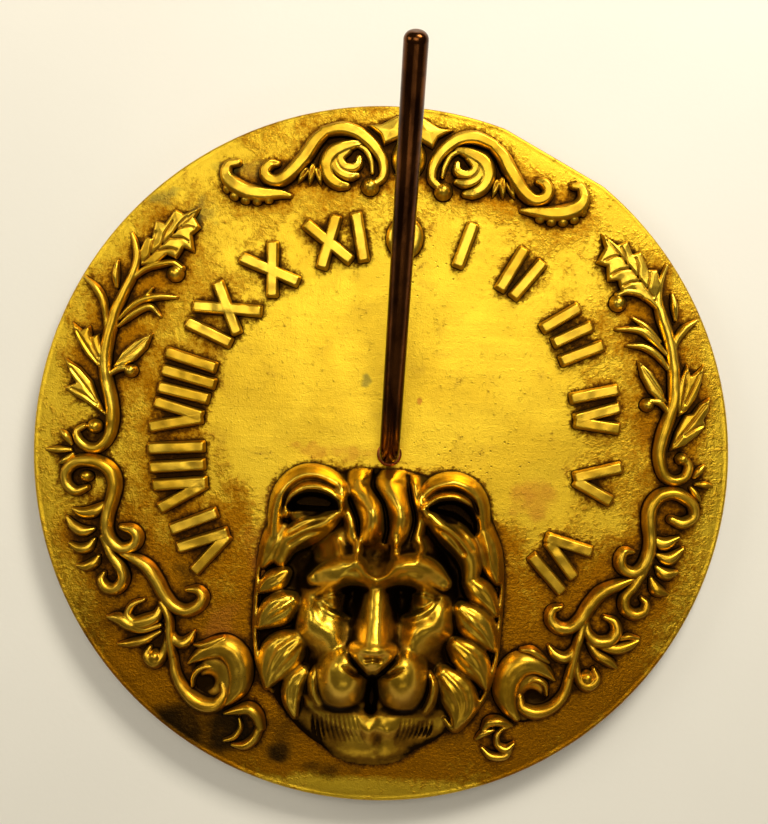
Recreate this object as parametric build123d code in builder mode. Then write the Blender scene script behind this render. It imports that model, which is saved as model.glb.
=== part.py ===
"""Cast brass garden sundial: round relief plate, bent-rod gnomon and its fixings.

The dial lies flat. +Z is the dial face's normal, +Y points to the noon mark, +X to the
afternoon hours. The origin is the middle of the plate, on the surface that it rests on.
All sizes are millimetres. Relief is drawn on the face in coordinates that start at the
gnomon's foot: first number to the afternoon side, second number towards noon.
"""

import math
import os

from build123d import *

# ---------------------------------------------------------------- driving dimensions
PLATE_R = 127.0            # 10 inch plate
PLATE_H = 10.0             # edge height, and the height of the face
FACE_T = 3.8               # thickness of the plate inside its skirt
SKIRT_W = 5.0              # width of the skirt's underside, which the dial rests on
TOP_EDGE_R = 1.4           # rounding of the cast top edge
FLAT_ANGLE = 63.0          # direction of the slight flat in the cast outline
FLAT_DISTANCE = 125.3      # its distance from the middle

DIAL_X = 3.0               # the hour pattern's meridian stands this far off the middle

ROD_R = 3.6                # gnomon rod, about 9/32 inch
STUB_R = 3.0               # its M6 threaded stub
STUB_END_Z = 0.4
STUB_HOLE_R = 3.2
ELBOW_R = 9.0
GNOMON_ELEVATION = 38.0    # slope of the style above the dial face, degrees
GNOMON_REACH = 121.5       # from the foot to the middle of the tip, along the dial
TIP_ROUNDING = 2.6

COLLAR_R = 4.5
COLLAR_H = 3.2             # the elbow starts where the collar ends
WASHER_R = 6.0
WASHER_T = 1.0
SPRING_WASHER_R = 5.4
SPRING_WASHER_T = 1.4
SPRING_WASHER_GAP = 1.2
NUT_ACROSS_FLATS = 10.0
NUT_T = 3.2                # thin M6 nut

FIXING_COUNT = 3
FIXING_PCD = 200.0
FIXING_BOSS_R = 7.0
FIXING_BOSS_Z = 0.5        # underside of the rear bosses, just clear of the resting plane
FIXING_HOLE_R = 2.5        # M5
FIXING_HOLE_DEPTH = 7.0

NUMERAL_H = 3.4
NUMERAL_W = 3.6
LEAF_H = 3.6
SCROLL_H = 4.4
VOLUTE_FLOOR_H = 1.4
DOME_H = 4.4
FACETS_PER_SPAN = 4        # straight facets between two points of a scroll's centre line

MANE_H = 12.0
MANE_STEP_H = 7.0          # the mane's outer locks are lower
MANE_STEP_W = 5.0
FACE_OVAL = (26.5, 38.0)   # half width and half height of the lion's face in its mane
FACE_OVAL_CENTRE = (-1.0, -68.0)

MORNING, AFTERNOON = "left", "right"

# Every relief piece is drawn on this plane, with its origin at the gnomon's foot. The
# drawing is a little larger than the casting, which shrinks towards this point of it.
RELIEF = Plane((DIAL_X, 0, PLATE_H))
SHRINK_CENTRE = Vector(-2.8, 15.1)
SHRINK = 0.985

# ---------------------------------------------------------------- the relief's drawing
# Hour marks: each stroke of a Roman numeral runs from its outer end to its inner end.
NUMERALS = {
    "numeral_vi_morning": [
        ((-79, -33), (-62, -25.5)), ((-76, -39.5), (-57.5, -32.5)), ((-69.5, -48), (-57.5, -33.5))],
    "numeral_vii_morning": [
        ((-89, -3.5), (-68, -1.5)), ((-88, -10.5), (-67.5, -8)),
        ((-86.5, -17), (-66.5, -14.5)), ((-83.5, -25.5), (-67, -15))],
    "numeral_viii_morning": [
        ((-84.5, 32.5), (-65.5, 27.5)), ((-85.5, 26), (-65.5, 21.5)), ((-86.5, 19.5), (-67.5, 16)),
        ((-87.5, 14), (-69.5, 9.5)), ((-89, 4.5), (-69.5, 9))],
    "numeral_ix_morning": [
        ((-75.5, 50), (-50, 49.5)), ((-67, 59.5), (-58.5, 40.5)), ((-77.5, 44), (-60.5, 37))],
    "numeral_x_morning": [((-59, 69), (-37, 61)), ((-47.5, 75.5), (-46.5, 55))],
    "numeral_xi_morning": [
        ((-36, 83), (-18, 70)), ((-24.5, 86.5), (-29, 66.5)), ((-17.5, 88), (-13.5, 70))],
    "numeral_i_afternoon": [((26, 86.5), (21, 70))],
    "numeral_ii_afternoon": [((45.5, 78.5), (37, 62.5)), ((52.5, 74), (42, 60))],
    "numeral_iii_afternoon": [((67, 58), (53.5, 49)), ((72, 51.5), (58, 44)), ((76.5, 44.5), (61, 37.5))],
    "numeral_iv_afternoon": [
        ((83, 28.5), (65.5, 24)), ((84, 22), (67.5, 16.5)), ((84.5, 14), (67.5, 15.5))],
    "numeral_v_afternoon": [((86, 0), (68.5, -5)), ((83, -13), (69, -6))],
    "numeral_vi_afternoon": [
        ((77, -32), (59.5, -27.5)), ((71, -42), (60.5, -29)), ((67, -47.5), (54.5, -34.5))],
}

# Bands: (width, centre line). Balls: (middle, radius). Leaves: (base, tip, width).
TOP_SCROLL = {
    "left": {
        "bands": [
            (4.4, [(-12.5, 98), (-9, 103), (-9.5, 108), (-13, 113), (-18, 117), (-24, 118.5),
                   (-30, 116.5), (-35, 111), (-38, 106.5), (-41.5, 102), (-46, 98), (-51, 99.5),
                   (-50.5, 103.5)]),
            (4.2, [(-43.5, 93.5), (-50, 92.5), (-56, 92.5), (-61.5, 94), (-66, 98.5), (-64.5, 103.5)]),
            (3.0, [(-20, 113.5), (-27, 111.5), (-30.5, 105.5), (-28.5, 100), (-23, 98)]),
            (3.0, [(-18, 108), (-19, 104), (-23.5, 104.5), (-26, 108)]),
        ],
        "balls": [((-12.5, 98), 3.2), ((-24, 101.5), 2.6)],
        "leaves": [((-40, 98), (-37, 104), 3.0), ((-36, 97), (-33.5, 105), 3.0)],
    },
    "right": {
        "bands": [
            (4.4, [(14, 98), (10, 103), (11, 109), (14.5, 114), (19, 117), (25, 117.5), (30, 116),
                   (35, 111), (39, 105.5), (43, 100), (47.5, 96), (52, 98), (51.5, 102.5)]),
            (4.2, [(44, 92.5), (50, 91.5), (57, 91.5), (63, 93), (66, 98), (63, 102.5)]),
            (3.0, [(20, 113), (27, 111.5), (31, 106), (29, 100.5), (24, 98)]),
            (3.0, [(18.5, 108), (19.5, 104), (24, 104.5), (26.5, 108)]),
        ],
        "balls": [((14.2, 98), 3.2), ((24.5, 101.5), 2.6)],
        "leaves": [((40, 97), (37.5, 103), 3.0), ((36, 97), (33.5, 104.5), 3.0)],
    },
}

LEAF_SPRAY = {
    "left": {
        "bands": [
            (3.4, [(-113, 2), (-115.5, -0.5), (-113, -4), (-107.5, -4), (-103.5, 1), (-103.5, 12),
                   (-106, 23), (-106.5, 34), (-104.5, 45), (-100, 56), (-97, 66), (-99, 75)]),
            (2.4, [(-96, 61), (-90, 64.5), (-84, 65.5), (-82, 62)]),
            (2.4, [(-105.5, 22), (-101, 25), (-97.5, 25)]),
        ],
        "balls": [((-109, 3), 3.0), ((-82.5, 61.5), 2.8), ((-97, 24.5), 2.4)],
        "leaves": [
            ((-95, 64), (-75.5, 85.5), 11.0), ((-106, 48), (-116, 58.5), 5.0),
            ((-103, 55), (-104.5, 66), 3.0), ((-102, 46), (-82, 53), 5.0),
            ((-102, 42), (-87.5, 47), 4.5), ((-103, 27), (-90, 38), 5.5),
            ((-107, 24), (-119, 41), 8.0), ((-105, 9), (-120.5, 27), 8.0)],
    },
    "right": {
        "bands": [
            (3.4, [(109.5, 4), (111, 0.5), (108, -3.5), (103, -2.5), (100, 3), (100.5, 12.5),
                   (103.5, 22), (103.5, 31), (102, 43.5), (98, 55), (95.5, 63), (98, 75)]),
            (2.4, [(98, 55), (94.5, 61), (89, 64), (82.5, 63)]),
            (2.4, [(102.5, 20.5), (98.5, 24.5), (95, 25)]),
        ],
        "balls": [((105.5, 2), 3.0), ((81, 60.5), 3.0), ((94, 23.5), 2.4)],
        "leaves": [
            ((94, 62.5), (74, 85), 11.0), ((102.5, 46), (112.5, 57), 5.0),
            ((101, 54), (102, 65.5), 3.0), ((100, 44), (81, 51.5), 5.0),
            ((100, 38), (85.5, 45), 4.5), ((100.5, 25.5), (90, 39), 5.5),
            ((104, 20), (112, 39), 8.0), ((101, 7), (116, 26), 8.0)],
    },
}

SIDE_SCROLL = {
    "left": {
        "bands": [
            (4.2, [(-110, -19), (-116, -20), (-118.5, -14.5), (-114, -9.5), (-107, -9.5), (-101, -13),
                   (-101, -23), (-103, -33.5), (-98.5, -40.5), (-92.5, -40), (-92.5, -33.5),
                   (-97, -32.5)]),
            (3.6, [(-103, -38), (-98, -46), (-95.5, -52), (-99, -56), (-103, -52)]),
            (4.0, [(-97, -43), (-88, -46), (-82, -53), (-76.5, -61.5), (-70, -62), (-66, -57.5),
                   (-70, -54.5)]),
            (3.4, [(-79, -60), (-76.5, -72), (-74, -85), (-68, -93), (-58, -92)]),
        ],
        "balls": [((-111, -15.2), 2.2), ((-82, -80.8), 3.2)],
        "leaves": [
            ((-102, -27), (-116.5, -27.5), 3.6), ((-105, -35), (-117, -32), 3.6),
            ((-105, -40), (-115, -40.5), 3.2), ((-104, -46), (-112.5, -48), 3.0),
            ((-84, -57), (-99.5, -66), 6.0), ((-80, -64), (-94, -76), 6.0),
            ((-77, -73), (-67.5, -70.5), 3.0)],
    },
    "right": {
        "bands": [
            (4.2, [(105.5, -19.5), (111.5, -20), (114, -14.5), (109, -9.5), (102, -9), (97, -14),
                   (98, -25), (97.5, -33), (93, -38.5), (88, -36.5), (88.5, -31.5), (92, -31)]),
            (3.6, [(97, -37), (93, -44), (89.5, -49.5), (93.5, -54.5), (97, -51)]),
            (4.0, [(92, -42), (83, -45), (77.5, -51), (72, -59.5), (66, -60.5), (63, -56), (66, -53)]),
            (3.4, [(75, -58), (73.5, -70), (70, -84), (64, -91.5), (55, -90)]),
        ],
        "balls": [((106, -15), 2.2), ((77.8, -78.3), 3.3)],
        "leaves": [
            ((97, -25), (109.5, -26), 3.6), ((100, -33), (111, -29.5), 3.6),
            ((99, -38), (109, -38), 3.2), ((97, -43), (105.5, -45.5), 3.0),
            ((80, -55), (95.5, -63.5), 6.0), ((76, -62), (88.5, -73), 6.0),
            ((73.5, -70), (63.5, -68), 3.0)],
    },
}

CORNER_VOLUTE = {
    "left": {
        "bands": [
            (4.4, [(-69, -79), (-62.5, -72.5), (-54.5, -71), (-48, -77), (-46, -86), (-50, -93),
                   (-57, -97)]),
            (3.6, [(-57, -98), (-50, -97), (-45, -96), (-42, -101)]),
            (2.6, [(-53, -108), (-47, -106), (-43, -105)]),
        ],
        "balls": [((-61.3, -87.5), 3.2)],
        "floor": ((-58.5, -84.5), 12.0),
    },
    "right": {
        "bands": [
            (4.4, [(66, -79), (60.5, -72), (53, -70), (46.5, -75.5), (45, -85), (49, -92.5),
                   (56, -96)]),
            (3.6, [(53, -96.5), (46, -95), (41, -98), (41, -103)]),
            (2.6, [(49, -98), (46, -102), (48, -106), (42, -108)]),
        ],
        "balls": [((57, -85.5), 3.4)],
        "floor": ((56.5, -83), 12.0),
    },
}

BUD_RAYS = {
    "left": [((-121, 1), (-117.5, -3)), ((-125.5, -6), (-118, -5.5)), ((-121, -10.5), (-117, -7.5))],
    "right": [((116, 2), (113, -2)), ((119.7, -5), (113.5, -4.8)), ((115.5, -10.7), (112, -6.5))],
}

MANE_OUTLINE = [
    (-41, -20), (-37.5, -10), (-30, -6), (-21, -7), (-14, -11), (-8, -8.5), (0, -7.5), (6, -8.5),
    (13, -12), (21, -6.5), (28, -8), (34, -15), (36, -26), (42, -38), (43.5, -54), (42.5, -70),
    (38, -86), (30, -97), (21, -105), (8, -109.5), (-8, -110), (-21, -106), (-31, -96),
    (-40, -84), (-45, -69), (-45.5, -51), (-43.5, -38), (-40, -29)]


# ---------------------------------------------------------------- drawing functions
def cast(point):
    """The place on the casting of a point of the drawing."""
    return SHRINK_CENTRE + (Vector(*point) - SHRINK_CENTRE) * SHRINK


def band(width, points):
    """A strap of relief with round ends, faceted along its smooth centre line."""
    with BuildLine() as centre_line:
        Spline(*[cast(point) for point in points])
    facets = FACETS_PER_SPAN * (len(points) - 1)
    one_side, other_side = [], []
    for step in range(facets + 1):
        place = centre_line.line @ (step / facets)
        along = centre_line.line % (step / facets)
        across = Vector(-along.Y, along.X) * (width / 2)
        one_side.append(place + across)
        other_side.append(place - across)
    with BuildLine() as outline:
        Polyline(*one_side, *reversed(other_side), close=True)
    make_face(outline.edges())
    with Locations(centre_line.line @ 0, centre_line.line @ 1):
        Circle(width / 2)


def bar(start, end, width):
    """One straight stroke of a numeral."""
    with BuildLine() as centre_line:
        Line(cast(start), cast(end))
    trace(centre_line.wires(), line_width=width)


def leaf(base, tip, width):
    """An almond leaf: two arcs that meet at its base and its tip."""
    base, tip = cast(base), cast(tip)
    along = tip - base
    middle = (base + tip) * 0.5
    across = Vector(-along.Y, along.X).normalized() * (width / 2)
    with BuildLine() as outline:
        ThreePointArc(base, middle + across, tip)
        ThreePointArc(tip, middle - across, base)
    make_face(outline.edges())


def ellipsoid(centre, radii):
    """A ball stretched to three radii, its centre given from the gnomon's foot and face."""
    ball = scale(Sphere(1, mode=Mode.PRIVATE), by=radii, mode=Mode.PRIVATE)
    return RELIEF.location * Pos(*centre) * ball


def finish(part, node):
    """Name a finished piece and write its STEP file."""
    part.label = node
    export_step(part, f"parts/{node}.step")


os.makedirs("parts", exist_ok=True)

# ---------------------------------------------------------------- dial plate
hollow_h = PLATE_H - FACE_T
flat_normal = Vector(1, 0).rotate(Axis.Z, FLAT_ANGLE)
flat_middle = flat_normal * (FLAT_DISTANCE + PLATE_R / 2)

with BuildPart() as dial_plate:
    with BuildSketch():
        Circle(PLATE_R)
        with Locations(Location((flat_middle.X, flat_middle.Y), FLAT_ANGLE)):
            Rectangle(PLATE_R, PLATE_R, mode=Mode.SUBTRACT)
    extrude(amount=PLATE_H)
    fillet(dial_plate.faces().sort_by(Axis.Z)[-1].edges(), radius=TOP_EDGE_R)
    with BuildSketch():
        Circle(PLATE_R - SKIRT_W)
    extrude(amount=hollow_h, mode=Mode.SUBTRACT)
    with BuildSketch(Plane.XY.offset(FIXING_BOSS_Z)):
        with PolarLocations(FIXING_PCD / 2, FIXING_COUNT, start_angle=90):
            Circle(FIXING_BOSS_R)
    extrude(amount=PLATE_H - FIXING_BOSS_Z - FACE_T / 2)
    with BuildSketch(Plane.XY.offset(FIXING_BOSS_Z)):
        with PolarLocations(FIXING_PCD / 2, FIXING_COUNT, start_angle=90):
            Circle(FIXING_HOLE_R)
    extrude(amount=FIXING_HOLE_DEPTH, mode=Mode.SUBTRACT)
    with BuildSketch():
        with Locations((DIAL_X, 0)):
            Circle(STUB_HOLE_R)
    extrude(amount=PLATE_H, mode=Mode.SUBTRACT)
finish(dial_plate.part, "dial_plate")

# ---------------------------------------------------------------- gnomon and its fixings
meridian = Plane((DIAL_X, 0, 0), x_dir=(0, 1, 0), z_dir=(1, 0, 0))
elbow_turn = 90 - GNOMON_ELEVATION
elbow_reach = ELBOW_R * (1 - math.cos(math.radians(elbow_turn)))
style_length = (GNOMON_REACH - elbow_reach) / math.cos(math.radians(GNOMON_ELEVATION))

with BuildPart() as gnomon_rod:
    with BuildLine(meridian) as rod_line:
        rise = Line((0, PLATE_H), (0, PLATE_H + COLLAR_H))
        elbow = JernArc(rise @ 1, rise % 1, ELBOW_R, -elbow_turn)
        PolarLine(elbow @ 1, style_length, angle=GNOMON_ELEVATION)
    with BuildSketch(Plane((DIAL_X, 0, PLATE_H))):
        Circle(ROD_R)
    sweep(path=rod_line.wires()[0])
    fillet(gnomon_rod.faces().sort_by(Axis.Z)[-1].edges(), radius=TIP_ROUNDING)
    with BuildSketch(Plane((DIAL_X, 0, STUB_END_Z))):
        Circle(STUB_R)
    extrude(amount=PLATE_H - STUB_END_Z)
finish(gnomon_rod.part, "gnomon_rod")

with BuildPart() as gnomon_collar:
    with BuildSketch(RELIEF):
        Circle(COLLAR_R)
        Circle(ROD_R, mode=Mode.SUBTRACT)
    extrude(amount=COLLAR_H)
    rim = gnomon_collar.faces().sort_by(Axis.Z)[-1].edges().sort_by(SortBy.RADIUS)[-1]
    fillet(rim, radius=(COLLAR_R - ROD_R) * 0.9)
finish(gnomon_collar.part, "gnomon_collar")

washer_z = hollow_h - WASHER_T
spring_washer_z = washer_z - SPRING_WASHER_T
nut_z = spring_washer_z - NUT_T

with BuildPart() as gnomon_washer:
    with BuildSketch(Plane((DIAL_X, 0, washer_z))):
        Circle(WASHER_R)
        Circle(STUB_HOLE_R, mode=Mode.SUBTRACT)
    extrude(amount=WASHER_T)
finish(gnomon_washer.part, "gnomon_washer")

with BuildPart() as gnomon_spring_washer:
    with BuildSketch(Plane((DIAL_X, 0, spring_washer_z))):
        Circle(SPRING_WASHER_R)
        Circle(STUB_HOLE_R, mode=Mode.SUBTRACT)
        with Locations((SPRING_WASHER_R / 2 + STUB_HOLE_R / 2, 0)):
            Rectangle(SPRING_WASHER_R, SPRING_WASHER_GAP, mode=Mode.SUBTRACT)
    extrude(amount=SPRING_WASHER_T)
finish(gnomon_spring_washer.part, "gnomon_spring_washer")

with BuildPart() as gnomon_nut:
    with BuildSketch(Plane((DIAL_X, 0, nut_z))):
        RegularPolygon(NUT_ACROSS_FLATS / 2, 6, major_radius=False)
        Circle(STUB_R, mode=Mode.SUBTRACT)
    extrude(amount=NUT_T)
    chamfer(gnomon_nut.edges().filter_by(GeomType.CIRCLE), length=0.3)
finish(gnomon_nut.part, "gnomon_nut")

# ---------------------------------------------------------------- hour numerals
for node, strokes in NUMERALS.items():
    with BuildPart() as numeral:
        with BuildSketch(RELIEF):
            for outer_end, inner_end in strokes:
                bar(outer_end, inner_end, NUMERAL_W)
        extrude(amount=NUMERAL_H)
    finish(numeral.part, node)

# ---------------------------------------------------------------- noon mark and crest
noon_boss_dome = ellipsoid((1.0, 79.0, 0), (6.6, 7.7, DOME_H))
with BuildPart() as noon_boss:
    add(noon_boss_dome)
    split(bisect_by=RELIEF, keep=Keep.TOP)
finish(noon_boss.part, "noon_boss")

cabochon_dome = ellipsoid((0.8, 107.6, 0), (6.2, 7.7, DOME_H))
with BuildPart() as crest_cabochon:
    add(cabochon_dome)
    split(bisect_by=RELIEF, keep=Keep.TOP)
finish(crest_cabochon.part, "crest_cabochon")

with BuildPart() as crest_palmette:
    with BuildSketch(RELIEF):
        leaf((-4.5, 117.0), (-13.5, 119.5), 5.0)
        leaf((-1.5, 117.5), (-6.5, 123.0), 4.6)
        leaf((1.0, 117.5), (1.0, 124.0), 4.6)
        leaf((3.5, 117.5), (8.0, 123.0), 4.6)
        leaf((6.0, 117.0), (15.0, 120.0), 5.0)
        with Locations((0.8, 116.0)):
            Ellipse(6.0, 1.8)
        with Locations((0.8, 107.6)):
            Ellipse(6.4, 7.9, mode=Mode.SUBTRACT)
    extrude(amount=LEAF_H)
finish(crest_palmette.part, "crest_palmette")

# ---------------------------------------------------------------- scrolls and leaf sprays
for side in (MORNING, AFTERNOON):
    neighbours = []
    for name, drawing, height in (
        ("top_scroll", TOP_SCROLL[side], SCROLL_H),
        ("leaf_spray", LEAF_SPRAY[side], LEAF_H),
        ("side_scroll", SIDE_SCROLL[side], SCROLL_H),
    ):
        with BuildPart() as ornament:
            with BuildSketch(RELIEF):
                for width, points in drawing["bands"]:
                    band(width, points)
                for middle, radius in drawing["balls"]:
                    with Locations(cast(middle)):
                        Circle(radius)
                for base, tip, width in drawing["leaves"]:
                    leaf(base, tip, width)
            extrude(amount=height)
        finish(ornament.part, f"{name}_{side}")
        neighbours.append(ornament.part)

    volute = CORNER_VOLUTE[side]
    floor_middle, floor_radius = volute["floor"]
    with BuildPart() as corner_volute:
        with BuildSketch(RELIEF):
            with Locations(cast(floor_middle)):
                Circle(floor_radius)
        extrude(amount=VOLUTE_FLOOR_H)
        with BuildSketch(RELIEF):
            for width, points in volute["bands"]:
                band(width, points)
            for middle, radius in volute["balls"]:
                with Locations(cast(middle)):
                    Circle(radius)
        extrude(amount=SCROLL_H)
        add(neighbours, mode=Mode.SUBTRACT)
    finish(corner_volute.part, f"corner_volute_{side}")

    with BuildPart() as bud_rays:
        with BuildSketch(RELIEF):
            for outer_end, inner_end in BUD_RAYS[side]:
                leaf(outer_end, inner_end, 2.4)
        extrude(amount=LEAF_H * 0.6)
        add(neighbours, mode=Mode.SUBTRACT)
    finish(bud_rays.part, f"bud_rays_{side}")

# ---------------------------------------------------------------- lion's head
with BuildPart() as lion_mane:
    with BuildSketch(RELIEF):
        with BuildLine():
            Polyline(*MANE_OUTLINE, close=True)
        make_face()
        with Locations(FACE_OVAL_CENTRE):
            Ellipse(*FACE_OVAL, mode=Mode.SUBTRACT)
    extrude(amount=MANE_STEP_H)
    with BuildSketch(RELIEF):
        with BuildLine():
            Polyline(*MANE_OUTLINE, close=True)
        make_face()
        offset(amount=-MANE_STEP_W)
        with Locations(FACE_OVAL_CENTRE):
            Ellipse(*FACE_OVAL, mode=Mode.SUBTRACT)
    extrude(amount=MANE_H)
finish(lion_mane.part, "lion_mane")

face_masses = [
    ellipsoid((-1, -67, 0), (28, 42, 20)),         # skull, cheeks and jaw
    ellipsoid((-10, -78, 10), (9.5, 11, 19)),      # muzzle
    ellipsoid((7.5, -78, 10), (9.5, 11, 19)),
    ellipsoid((-1.5, -62, 8), (6, 19, 22)),        # nose
    ellipsoid((-13, -43, 8), (11, 8, 13)),         # brows
    ellipsoid((10.5, -43, 8), (11, 8, 13)),
    ellipsoid((1, -96, 4), (14, 9, 15)),           # chin
]
with BuildPart() as lion_face:
    add(face_masses)
    with BuildSketch(RELIEF):
        with Locations(FACE_OVAL_CENTRE):
            Ellipse(*FACE_OVAL)
    extrude(amount=PLATE_R, mode=Mode.INTERSECT)
finish(lion_face.part, "lion_face")
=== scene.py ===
"""The looks of the garden sundial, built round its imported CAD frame.

Every ornament of the casting is a height field in millimetres over the dial's face, drawn
in coordinates that start at the gnomon's foot: u to the afternoon side, v towards noon.
Each field becomes one closed mesh that stands for its CAD node.
"""

import math

import bpy
import numpy as np
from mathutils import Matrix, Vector


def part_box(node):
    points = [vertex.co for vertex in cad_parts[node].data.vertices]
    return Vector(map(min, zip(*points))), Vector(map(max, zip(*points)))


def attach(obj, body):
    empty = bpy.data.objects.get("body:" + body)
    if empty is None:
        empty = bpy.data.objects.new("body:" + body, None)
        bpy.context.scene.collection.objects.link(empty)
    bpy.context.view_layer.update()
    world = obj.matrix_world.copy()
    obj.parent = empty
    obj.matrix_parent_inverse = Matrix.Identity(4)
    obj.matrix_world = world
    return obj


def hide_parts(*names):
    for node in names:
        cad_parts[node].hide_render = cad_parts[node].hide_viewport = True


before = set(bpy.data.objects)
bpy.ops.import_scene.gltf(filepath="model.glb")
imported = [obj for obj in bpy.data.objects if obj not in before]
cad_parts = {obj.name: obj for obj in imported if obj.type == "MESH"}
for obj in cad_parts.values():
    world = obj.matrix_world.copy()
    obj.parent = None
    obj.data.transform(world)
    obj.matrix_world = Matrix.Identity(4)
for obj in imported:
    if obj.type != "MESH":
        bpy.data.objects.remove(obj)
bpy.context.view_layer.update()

# ---------------------------------------------------------------- sizes, in millimetres
MM = 0.001
plate_low, plate_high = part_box("dial_plate")
collar_low, collar_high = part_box("gnomon_collar")
PLATE_R = (plate_high.x - plate_low.x) / 2 / MM
FACE_Z = plate_high.z / MM
DIAL_X = (collar_low.x + collar_high.x) / 2 / MM

ROOT = -0.8                # the relief is rooted this far under the dial's face
SHRINK_CENTRE = np.array([-2.8, 15.1])   # the casting shrinks towards this point
SHRINK = 0.985             # and by this much, at the low relief's height
LION_SHRINK = 0.9934       # the lion is as much smaller at its foot,
LION_DRAFT = 431.0         # and narrows upwards as if to a point at this height

FINE = 0.3                 # grid step of the scrolls and leaves
NUMERAL_STEP = 0.25
LION_STEP = 0.45
NOISE_SPAN = 320           # the noise covers this much of the dial each way


# ---------------------------------------------------------------- curves and noise
def smooth_curve(points, spacing=0.35):
    """Points along a Catmull-Rom curve through the given ones, whatever their dimension."""
    p = np.array(points, float)
    p = np.vstack([2 * p[0] - p[1], p, 2 * p[-1] - p[-2]])
    out = []
    for a, b, c, d in zip(p[:-3], p[1:-2], p[2:-1], p[3:]):
        n = max(2, int(np.hypot(*(c - b)[:2]) / spacing) + 1)
        t = (np.arange(n) / n)[:, None]
        out.append(0.5 * (2 * b + (c - a) * t + (2 * a - 5 * b + 4 * c - d) * t**2
                          + (3 * b - a - 3 * c + d) * t**3))
    out.append(p[-2:-1])
    return np.vstack(out)


def noise(u, v, cell, seed):
    """Smooth value noise between about -1 and 1, with one value in each cell of the dial."""
    count = int(NOISE_SPAN / cell) + 3
    lattice = np.random.default_rng(seed).uniform(-1, 1, (count, count))
    x, y = (u + NOISE_SPAN / 2) / cell, (v + NOISE_SPAN / 2) / cell
    i, j = np.floor(x).astype(int), np.floor(y).astype(int)
    fx, fy = x - i, y - j
    fx, fy = fx * fx * (3 - 2 * fx), fy * fy * (3 - 2 * fy)
    low = lattice[j, i] * (1 - fx) + lattice[j, i + 1] * fx
    high = lattice[j + 1, i] * (1 - fx) + lattice[j + 1, i + 1] * fx
    return low * (1 - fy) + high * fy


def blur(grid, radius):
    """Gaussian blur of a grid, its radius in cells."""
    reach = max(1, int(radius * 2.5))
    taps = np.exp(-0.5 * (np.arange(-reach, reach + 1) / radius) ** 2)
    taps /= taps.sum()
    for axis in (0, 1):
        pad = [(reach, reach) if a == axis else (0, 0) for a in (0, 1)]
        wide = np.pad(grid, pad, mode="edge")
        size = grid.shape[axis]
        grid = sum(w * np.take(wide, range(k, k + size), axis) for k, w in enumerate(taps))
    return grid


def smooth_max(a, b, soft):
    """The higher of two surfaces, with their join rounded where both stand proud."""
    top = np.maximum(a, b)
    if soft <= 0:
        return top
    near = np.maximum(soft - np.abs(a - b), 0) ** 2 / (4 * soft)
    return top + np.where(np.minimum(a, b) > ROOT * 0.5, near, 0)


def profile(edge, height, shoulder):
    """Height of a strap at a distance inside its edge: up over the shoulder, then level."""
    x = np.clip(edge / shoulder, -1, 1)
    return height * np.where(x > 0, 1 - (1 - x) ** 2, 2 * x)


def thin_plate(points, u, v):
    """The smooth surface through (u, v, height) points, at every (u, v) of a grid."""
    p = np.array(points, float)
    scale = 40.0               # keeps the numbers that are solved for near 1
    x, y = p[:, 0] / scale, p[:, 1] / scale

    def bend(r2):
        return 0.5 * r2 * np.log(np.maximum(r2, 1e-12))

    count = len(p)
    system = np.zeros((count + 3, count + 3))
    system[:count, :count] = bend((x[:, None] - x) ** 2 + (y[:, None] - y) ** 2) + 1e-5 * np.eye(count)
    plane = np.stack([np.ones(count), x, y], axis=1)
    system[:count, count:] = plane
    system[count:, :count] = plane.T
    weights = np.linalg.solve(system, np.concatenate([p[:, 2], np.zeros(3)]))
    gu, gv = u / scale, v / scale
    surface = weights[count] + weights[count + 1] * gu + weights[count + 2] * gv
    for k in range(count):
        surface = surface + weights[k] * bend((gu - x[k]) ** 2 + (gv - y[k]) ** 2)
    return surface


# ---------------------------------------------------------------- the height field
THIN_SHARE = 0.35          # a strap's height where it tapers to nothing, as a share of its full height
SQUARENESS = 5             # how square the numerals' corners are: 2 would be a round corner
LEAF_WIDEST = 0.42         # where along its length a leaf is widest
LEAST_HEIGHT = 0.15        # cuts stop this far above the dial's face


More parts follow.
